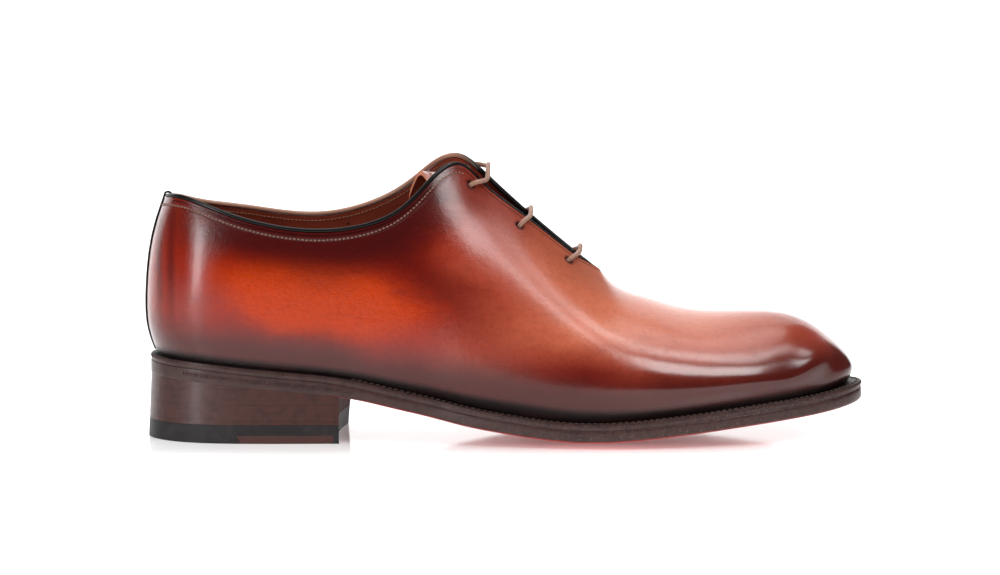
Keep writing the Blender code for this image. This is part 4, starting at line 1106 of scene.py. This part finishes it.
def heelLayer(name, layers, material):  # each layer has its spread, how far down it is and its height
    shares = np.linspace(0, 1, heel["across"])
    rows = heel["rows"]
    points, faces, grids = [], [], []
    for spread, down, height in layers:
        outline = offsetPlan(feather, lips - heel["inset"] + spread)
        half = len(outline) // 2
        ends = []
        medialLine = np.vstack([outline[:1], outline[:half - 1:-1]])
        for line, breast in ((outline[:half + 1], heel["lateral"]),
                             (medialLine, heel["medial"] - heel["rake"] * down)):
            cut = int(np.argmax(line[:, 0] > breast))
            a, b = line[cut - 1], line[cut]
            run = np.vstack([line[:cut], a + (b - a) * (breast - a[0]) / (b[0] - a[0])])
            length = np.concatenate([[0.0], np.cumsum(np.linalg.norm(np.diff(run, axis=0), axis=1))])
            places = np.linspace(0.0, length[-1], rows + 1)
            ends.append(np.stack([np.interp(places, length, run[:, k]) for k in (0, 1)], axis=1))
        near, far = ends
        index = [[len(points)]]
        points.append((*near[0], float(height(*near[0]))))
        for row in range(1, rows + 1):
            index.append([])
            for t in shares:
                a, b = near[row] + (far[row] - near[row]) * t
                a -= heel["hollow"] * 4 * t * (1 - t) * (row / rows) ** 12
                index[-1].append(len(points))
                points.append((a, b, float(height(a, b))))
        grids.append(index)
    faces += sheetFaces(grids[0]) + sheetFaces(grids[-1])
    borders = [sheetBorder(index) for index in grids]
    for low, high in zip(borders, borders[1:]):
        faces += joined(low, high)
    return outwards(meshObject(name, inFrame(points), faces, [material], sharp=35))


def buildHeel():
    layers = [(heelJoint * heel["flare"], heelJoint, lambda a, b: heel["lift"] + sole["joint"]),
              (0.0, 0.0, lambda a, b: underside(a, b) - sole["joint"])]
    settle(heelLayer("heel_leather_stack", layers, heelHide), ["heel_stack"])


buildHeel()


def liftRubber():
    rubber = Finish("lift rubber", Specular_IOR_Level=0.2)
    speck = rubber.cells(900.0)
    dust = rubber.noise(120.0, 4.0, 0.6)
    tone = rubber.blend(rubber.step(dust, 0.4, 0.8), (0.018, 0.016, 0.017), (0.034, 0.029, 0.030))
    tone = rubber.blend(1.0 - rubber.step(speck, 0.02, 0.10), tone, (0.20, 0.18, 0.17))
    return rubber.wear(Base_Color=tone, Roughness=dust * 0.2 + 0.42, Normal=rubber.relief(dust, 0.0001, 0.5))


# The CAD solid with its facets joined, shaded smooth up to the sharp angle in degrees
def smoothCopy(name, nodeName, material, sharp=35):
    item = bpy.data.objects.new(name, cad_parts[nodeName].data.copy())
    bpy.context.scene.collection.objects.link(item)
    item.data.materials.clear()
    item.data.materials.append(material)
    outwards(item)
    item.data.shade_smooth()
    item.data.set_sharp_from_angle(angle=math.radians(sharp))
    return settle(item, [nodeName])


def buildLift():  # flares to the floor, cut out at the side for the leather insert
    layers = [(heel["flare"], 1.0, lambda a, b: 0.0),
              (heelJoint * heel["flare"], heelJoint, lambda a, b: heel["lift"] - sole["joint"])]
    item = heelLayer("lift_rubber_piece", layers, liftRubber())
    tool = bpy.data.objects.new("insert room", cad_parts["top_lift_insert"].data.copy())
    bpy.context.scene.collection.objects.link(tool)
    outwards(tool)
    middle = sum(vertex.co.y for vertex in tool.data.vertices) / len(tool.data.vertices)
    for vertex in tool.data.vertices:  # a little wider than the insert, so that its side shows
        vertex.co.y += heel["insertRoom"] if vertex.co.y > middle else -heel["insertRoom"]
        vertex.co.z -= heel["insertRoom"] if vertex.co.z < heel["insertFoot"] else 0.0
    cut = item.modifiers.new("insert", "BOOLEAN")
    cut.operation, cut.solver, cut.object = "DIFFERENCE", "EXACT", tool
    baked(item)
    bpy.data.objects.remove(tool, do_unlink=True)
    settle(item, ["top_lift"])


buildLift()
smoothCopy("lift_leather_insert", "top_lift_insert",
           plainLeather("lift leather", (0.070, 0.026, 0.022), (0.045, 0.018, 0.015), 0.4), 2)
smoothCopy("sock_leather", "insole",
           plainLeather("sock leather", (0.30, 0.062, 0.030), (0.20, 0.040, 0.020), 0.5))
print("heel")


# Lace: one waxed round lace in three bars
lacing = {"radius": 0.0010, "arches": (0.0030, 0.0010, 0.0018),
          "fit": 0.0003, "above": 0.0009, "below": 0.0006, "crossing": 0.42,
          "spacing": 0.0008, "relaxing": 14, "sides": 14, "strands": 3, "weave": 900.0}


def lacePath():
    above = lacing["radius"] + lacing["above"]
    below = last["wall"] + lacing["radius"] + lacing["below"]

    def hidden(side, start, end, drift):
        (rowA, levelA, _), (rowB, levelB, _) = holes[side][start], holes[side][end]
        points = []
        for t in (0.12, 0.3, 0.5, 0.7, 0.88):
            row = rowA + (rowB - rowA) * t
            level = levelA + (levelB - levelA) * t - drift * math.sin(math.pi * t)
            place, _, _, normal = shoe.read(row, level, side)
            points.append(place - normal * below)
        return points

    def through(side, hole, upward):
        place, _, _, normal = shoe.read(*holes[side][hole][:2], side)
        points = [place + normal * h for h in (-last["wall"] - lacing["below"], -last["wall"] / 2, 0.0004)]
        return points if upward else points[::-1]

    def halfBar(side, hole, outward):
        row, level, edgeRow = holes[side][hole]
        arch = lacing["arches"][hole]
        points = []
        for t in (0.25, 0.6, 1.0):
            place, _, up, normal = shoe.read(row + (edgeRow - row) * t, level + (4.0 - level) * t, side)
            points.append(place + normal * (above + 0.4 * arch * t))
        points.append(place + normal * (above + 0.5 * arch) + up * (lacing["fit"] + binding["height"] / 2))
        return points[::-1] if outward else points

    def bar(hole, start):
        end = "medial" if start == "lateral" else "lateral"
        first, second = halfBar(start, hole, False), halfBar(end, hole, True)
        middle = (first[-1] + second[0]) / 2 + np.array((0.0, 0.0, lacing["arches"][hole]))
        return through(start, hole, True) + first + [middle] + second + through(end, hole, False)

    path = hidden("lateral", 0, 1, 0.0)[2::-1] + bar(0, "lateral")
    path += hidden("medial", 0, 1, 0.0) + bar(1, "medial")
    path += hidden("lateral", 1, 2, 0.0) + bar(2, "lateral") + hidden("medial", 2, 0, lacing["crossing"])
    return np.array(path)


def smoothRoute(points, spacing):
    padded = np.vstack([2 * points[0] - points[1], points, 2 * points[-1] - points[-2]])
    route = []
    for a, b, c, d in zip(padded, padded[1:], padded[2:], padded[3:]):
        steps = max(1, int(round(np.linalg.norm(c - b) / spacing)))
        for t in np.arange(steps) / steps:
            bend = (2 * a - 5 * b + 4 * c - d) * t**2 + (3 * b - a - 3 * c + d) * t**3
            route.append(0.5 * (2 * b + (c - a) * t + bend))
    route.append(points[-1])
    return np.array(route)


def relaxed(route, times):  # takes the kinks out and leaves the ends
    for _ in range(times):
        route[1:-1] = (route[:-2] + 2 * route[1:-1] + route[2:]) / 4
    return route


def laceFinish():
    cord = Finish("waxed lace", Coat_Roughness=0.35, Sheen_Weight=0.2)
    weave = cord.node("ShaderNodeUVMap", {"uv_map": "weave"}, {})
    u, v = (cord.part(weave, axis) for axis in (0, 1))
    first = cord.node("ShaderNodeMath", {"operation": "SINE"}, {0: (u * lacing["weave"] + v) * math.tau})
    second = cord.node("ShaderNodeMath", {"operation": "SINE"}, {0: (u * lacing["weave"] - v) * math.tau})
    braid = first * second * 0.5 + 0.5
    dust = cord.noise(300.0, 3.0, 0.6)
    tone = cord.blend(braid, (0.20, 0.085, 0.050), (0.46, 0.24, 0.155))
    tone = cord.blend(cord.step(dust, 0.4, 0.8) * 0.4, tone, (0.16, 0.06, 0.035))
    return cord.wear(Base_Color=tone, Roughness=0.5, Coat_Weight=0.2, Normal=cord.relief(braid, 0.00012, 0.8))


def roundCord(name, route, material):
    count, radius, strands = lacing["sides"], lacing["radius"], lacing["strands"]
    tangent = unit(np.gradient(route, axis=0))
    side = np.cross(tangent[0], (0.0, 0.0, 1.0))
    points, faces, uvs = [], [], []
    distance = np.concatenate([[0.0], np.cumsum(np.linalg.norm(np.diff(route, axis=0), axis=1))])
    for place, forward in zip(route, tangent):
        side = unit(side - forward * np.dot(side, forward))
        points += oval(place, side, np.cross(forward, side), radius, radius, count)
    for r in range(len(route) - 1):
        faces += joined(range(r * count, (r + 1) * count), range((r + 1) * count, (r + 2) * count))
        for k in range(count):
            left, right = strands * k / count, strands * (k + 1) / count
            uvs += [(distance[r], left), (distance[r], right),
                    (distance[r + 1], right), (distance[r + 1], left)]
    faces.append(tuple(reversed(range(count))))
    faces.append(tuple(range((len(route) - 1) * count, len(route) * count)))
    uvs += [(0.0, 0.0)] * (2 * count)
    item = meshObject(name, inFrame(points), faces, [material])
    layer = item.data.uv_layers.new(name="weave")
    layer.data.foreach_set("uv", np.asarray(uvs, np.float32).ravel())
    return outwards(item, merge=False)


laceRoute = relaxed(smoothRoute(lacePath(), lacing["spacing"]), lacing["relaxing"])
lace = settle(roundCord("waxed_lace", laceRoute, laceFinish()), ["lace"])


# Seams
def threadFinish(name, colour):
    thread = Finish(name, Roughness=0.55)
    twist = thread.noise(2500.0, 1.0, 0.5)
    return thread.wear(Base_Color=thread.blend(twist, tuple(c * 0.55 for c in colour), colour))


seams = {
    "collar": {"drop": patina["stitchDrop"], "rows": (0.12, 7.1), "pitch": 0.0017, "length": 0.00115,
               "width": 0.00068, "height": 0.00052, "unevenness": 0.08, "seed": 3, "lift": 0.00005},
    "lining": {"drop": 0.0018, "rows": (0.3, 7.0), "pitch": 0.0017, "length": 0.00125,
               "width": 0.00050, "height": 0.00040, "unevenness": 0.08, "seed": 3, "lift": 0.00005},
    "tongue": {"inset": 0.38, "pitch": 0.0019, "length": 0.0014,
               "width": 0.0005, "height": 0.0004, "unevenness": 0.08, "seed": 3, "lift": 0.00008},
    "heelMarks": {"rise": 0.0028, "from": 0.016, "to": 0.088, "pitch": 0.0010, "length": 0.00035,
                  "width": 0.0015, "height": 0.0005, "unevenness": 0.15, "seed": 8, "lift": 0.00008},
    "welt": {"inset": 0.0019, "from": 0.085, "pitch": 0.0026, "length": 0.0021,
             "width": 0.0006, "height": 0.0005, "unevenness": 0.08, "seed": 3, "lift": 0.0001},
    "weltMarks": {"inset": 0.0002, "rise": 0.72, "lean": 0.35, "pitch": 0.0011, "length": 0.0004,
                  "width": 0.0011, "height": 0.0003, "unevenness": 0.2, "seed": 3, "lift": 0.0},
}


def downTheWall(row):  # places a fixed way below the collar's edge, on both sides
    return [[shoe.below(r, row["drop"], side) for r in np.linspace(*row["rows"], 150)] for side in sides]


def collarSeams():
    row = seams["collar"]
    paths = [([p[0] for p in places], [p[3] for p in places]) for places in downTheWall(row)]
    seamRow("collar_stitches", paths, row, threadFinish("brown thread", (0.24, 0.12, 0.080)))


def liningSeams():
    row = seams["lining"]
    paths = [([p[0] - p[3] * last["wall"] for p in places], [-p[3] for p in places])
             for places in downTheWall(row)]
    seamRow("lining_stitches", paths, row, threadFinish("tan thread", (0.36, 0.19, 0.11)))


def tongueSeam():
    row = seams["tongue"]
    step = tongueRows[1] - tongueRows[0]
    line = tongueRows[0] + step * row["inset"]
    across = np.linspace(0.1, 3.9, 60)
    path, slope = (np.stack([spline(np.arange(5.0), table[:, k], across) for k in range(3)], axis=1)
                   for table in (line, step))
    normal = unit(np.cross(slope, np.gradient(path, axis=0)))
    path = path + normal * tongueShape["thickness"] / 2
    thread = threadFinish("tongue thread", (0.30, 0.15, 0.10))
    seamRow("tongue_stitches", [(path, normal)], row, thread)


def heelWheelMarks():
    row = seams["heelMarks"]
    plan = offsetPlan(feather, lips)
    normals = planNormals(feather[:, :2])
    paths = []
    for side in sides.values():
        keep = [k for k in range(len(plan)) if row["from"] < plan[k][0] < row["to"] and plan[k][1] * side > 0]
        paths.append(([(*plan[k], float(underside(*plan[k])) + row["rise"]) for k in keep],
                      [(*normals[k], 0.0) for k in keep]))
    seamRow("heel_wheel_marks", paths, row, heelHide)


def weltSeam():
    row = seams["welt"]
    plan = offsetPlan(feather, lips - row["inset"])
    keep = [k for k in range(len(plan)) if plan[k][0] > row["from"]]
    path = [(a, b, float(weltBottom(a, b)) + sole["welt"]) for a, b in plan[keep]]
    thread = threadFinish("welt thread", (0.10, 0.050, 0.035))
    seamRow("welt_stitches", [(path, [(0.0, 0.0, 1.0)] * len(path))], row, thread)


def weltWheelMarks():
    row = seams["weltMarks"]
    plan = offsetPlan(feather, lips - row["inset"])
    path = [(a, b, float(weltBottom(a, b)) + sole["welt"] * row["rise"]) for a, b in plan]
    outward = [(*n, row["lean"]) for n in planNormals(feather[:, :2])]
    seamRow("welt_wheel_marks", [(path + path[:1], outward + outward[:1])], row, soleHide)


collarSeams()
liningSeams()
tongueSeam()
heelWheelMarks()
weltSeam()
weltWheelMarks()
print("seams")


# Studio: pale floor and wall, soft boxes
studio = {
    "boxes": {
        "instep": {"place": (0.84, -0.56, 1.18), "size": (0.58, 0.52), "power": 10.5, "turn": -35.0},
        "toe": {"place": (0.86, 0.05, 1.55), "size": (0.34, 0.34), "power": 2.4,
                "target": (0.215, 0.0, 0.04)},
        "overhead": {"place": (0.34, 0.28, 1.62), "size": (1.00, 1.20), "power": 9.5,
                     "target": (0.34, 0.28, 0.0)},
        "counter": {"place": (-0.85, -0.90, 0.40), "size": (0.24, 0.95), "power": 9.5},
        "fill": {"place": (-0.25, -0.55, 1.55), "size": (1.2, 0.8), "power": 3.0},
    },
    "floorGlow": 0.55, "wallGlow": 1.2, "world": 0.05,
}


def whitePaper(name, glow, tint):
    paper = Finish(name, Roughness=0.6, Specular_IOR_Level=0.2, Emission_Strength=glow)
    haze = paper.noise(3.0, 2.0, 0.5)
    return paper.wear(Base_Color=paper.blend(haze, tint, tuple(c * 0.985 for c in tint)),
                      Emission_Color=(1.0, 1.0, 1.0))


def floorSheet():  # glossy white where the shoe stands, shaded under it, dimmer in front
    sheet = {"shine": 0.85, "white": (0.88, 0.88, 0.88), "shade": (0.60, 0.54, 0.54),
             "front": (0.50, 0.50, 0.50)}
    paper = Finish("white floor", Roughness=0.6, Specular_IOR_Level=0.2, Coat_Roughness=0.09,
                   Emission_Strength=studio["floorGlow"])
    haze = paper.noise(3.0, 2.0, 0.5) * 0.02
    # painted shadow under the shoe, in a pale pink that is also a painted reflection of the red sole
    under = paper.hump(paper.y, 0.010, 0.085) * paper.step(paper.x, 0.030, 0.075)
    under = paper.step(under * (1.0 - paper.step(paper.x, 0.200, 0.290)), 0.05, 0.60)
    near = 1.0 - paper.step(paper.y, -1.50, -0.60)
    tone = paper.blend(near, paper.blend(under, sheet["white"], sheet["shade"]), sheet["front"])
    # the floor glows less under the shoe, as painted shadow, and in front
    glow = paper.blend((under * 0.66 + near * 0.85 + haze).least(1.0), (1.0, 1.0, 1.0), (0.0, 0.0, 0.0))
    polished = paper.step(paper.y, -0.100, -0.045) * sheet["shine"]
    return paper.wear(Base_Color=tone, Emission_Color=glow, Coat_Weight=polished)


def buildStudio():
    floor = meshObject("floor", [(-4, -2.6, 0), (4, -2.6, 0), (4, 4.5, 0), (-4, 4.5, 0)], [(0, 1, 2, 3)],
                       [floorSheet()], smooth=False)
    wall = meshObject("backdrop", [(-3.4, 2.0, 0), (1.3, 2.0, 0), (1.3, 2.0, 3.4), (-3.4, 2.0, 3.4)],
                      [(0, 1, 2, 3)], [whitePaper("white wall", studio["wallGlow"], (0.8, 0.8, 0.8))],
                      smooth=False)


def softBox(name, place, size, power, target=(0.10, 0.0, 0.05), turn=0.0):
    light = bpy.data.lights.new(name, "AREA")
    light.shape = "RECTANGLE"
    light.size, light.size_y = size
    light.energy = power
    item = bpy.data.objects.new(name, light)
    item.location = place
    item.rotation_euler = (Vector(target) - Vector(place)).to_track_quat("-Z", "Y").to_euler()
    item.rotation_euler.rotate_axis("Z", math.radians(turn))
    bpy.context.scene.collection.objects.link(item)


def buildCamera():
    view = {"tilt": 5.6, "target": (0.118, 0.0, 0.062), "distance": 1.65, "lens": 140.4, "sensor": 36.0,
            "near": 0.05, "far": 30.0}
    tilt = math.radians(view["tilt"])
    forward = Vector((0.0, math.cos(tilt), -math.sin(tilt)))
    data = bpy.data.cameras.new("camera")
    data.lens, data.sensor_width = view["lens"], view["sensor"]
    data.clip_start, data.clip_end = view["near"], view["far"]
    camera = bpy.data.objects.new("camera", data)
    camera.location = Vector(view["target"]) - forward * view["distance"]
    camera.rotation_euler = forward.to_track_quat("-Z", "Y").to_euler()
    bpy.context.scene.collection.objects.link(camera)
    bpy.context.scene.camera = camera


buildStudio()
for name, box in studio["boxes"].items():
    softBox(name + " box", **box)
buildCamera()
world = bpy.data.worlds.new("studio")
world.use_nodes = True
world.node_tree.nodes["Background"].inputs["Color"].default_value = (1.0, 1.0, 1.0, 1.0)
world.node_tree.nodes["Background"].inputs["Strength"].default_value = studio["world"]
bpy.context.scene.world = world
bpy.context.scene.view_settings.view_transform = "Standard"
print("studio")
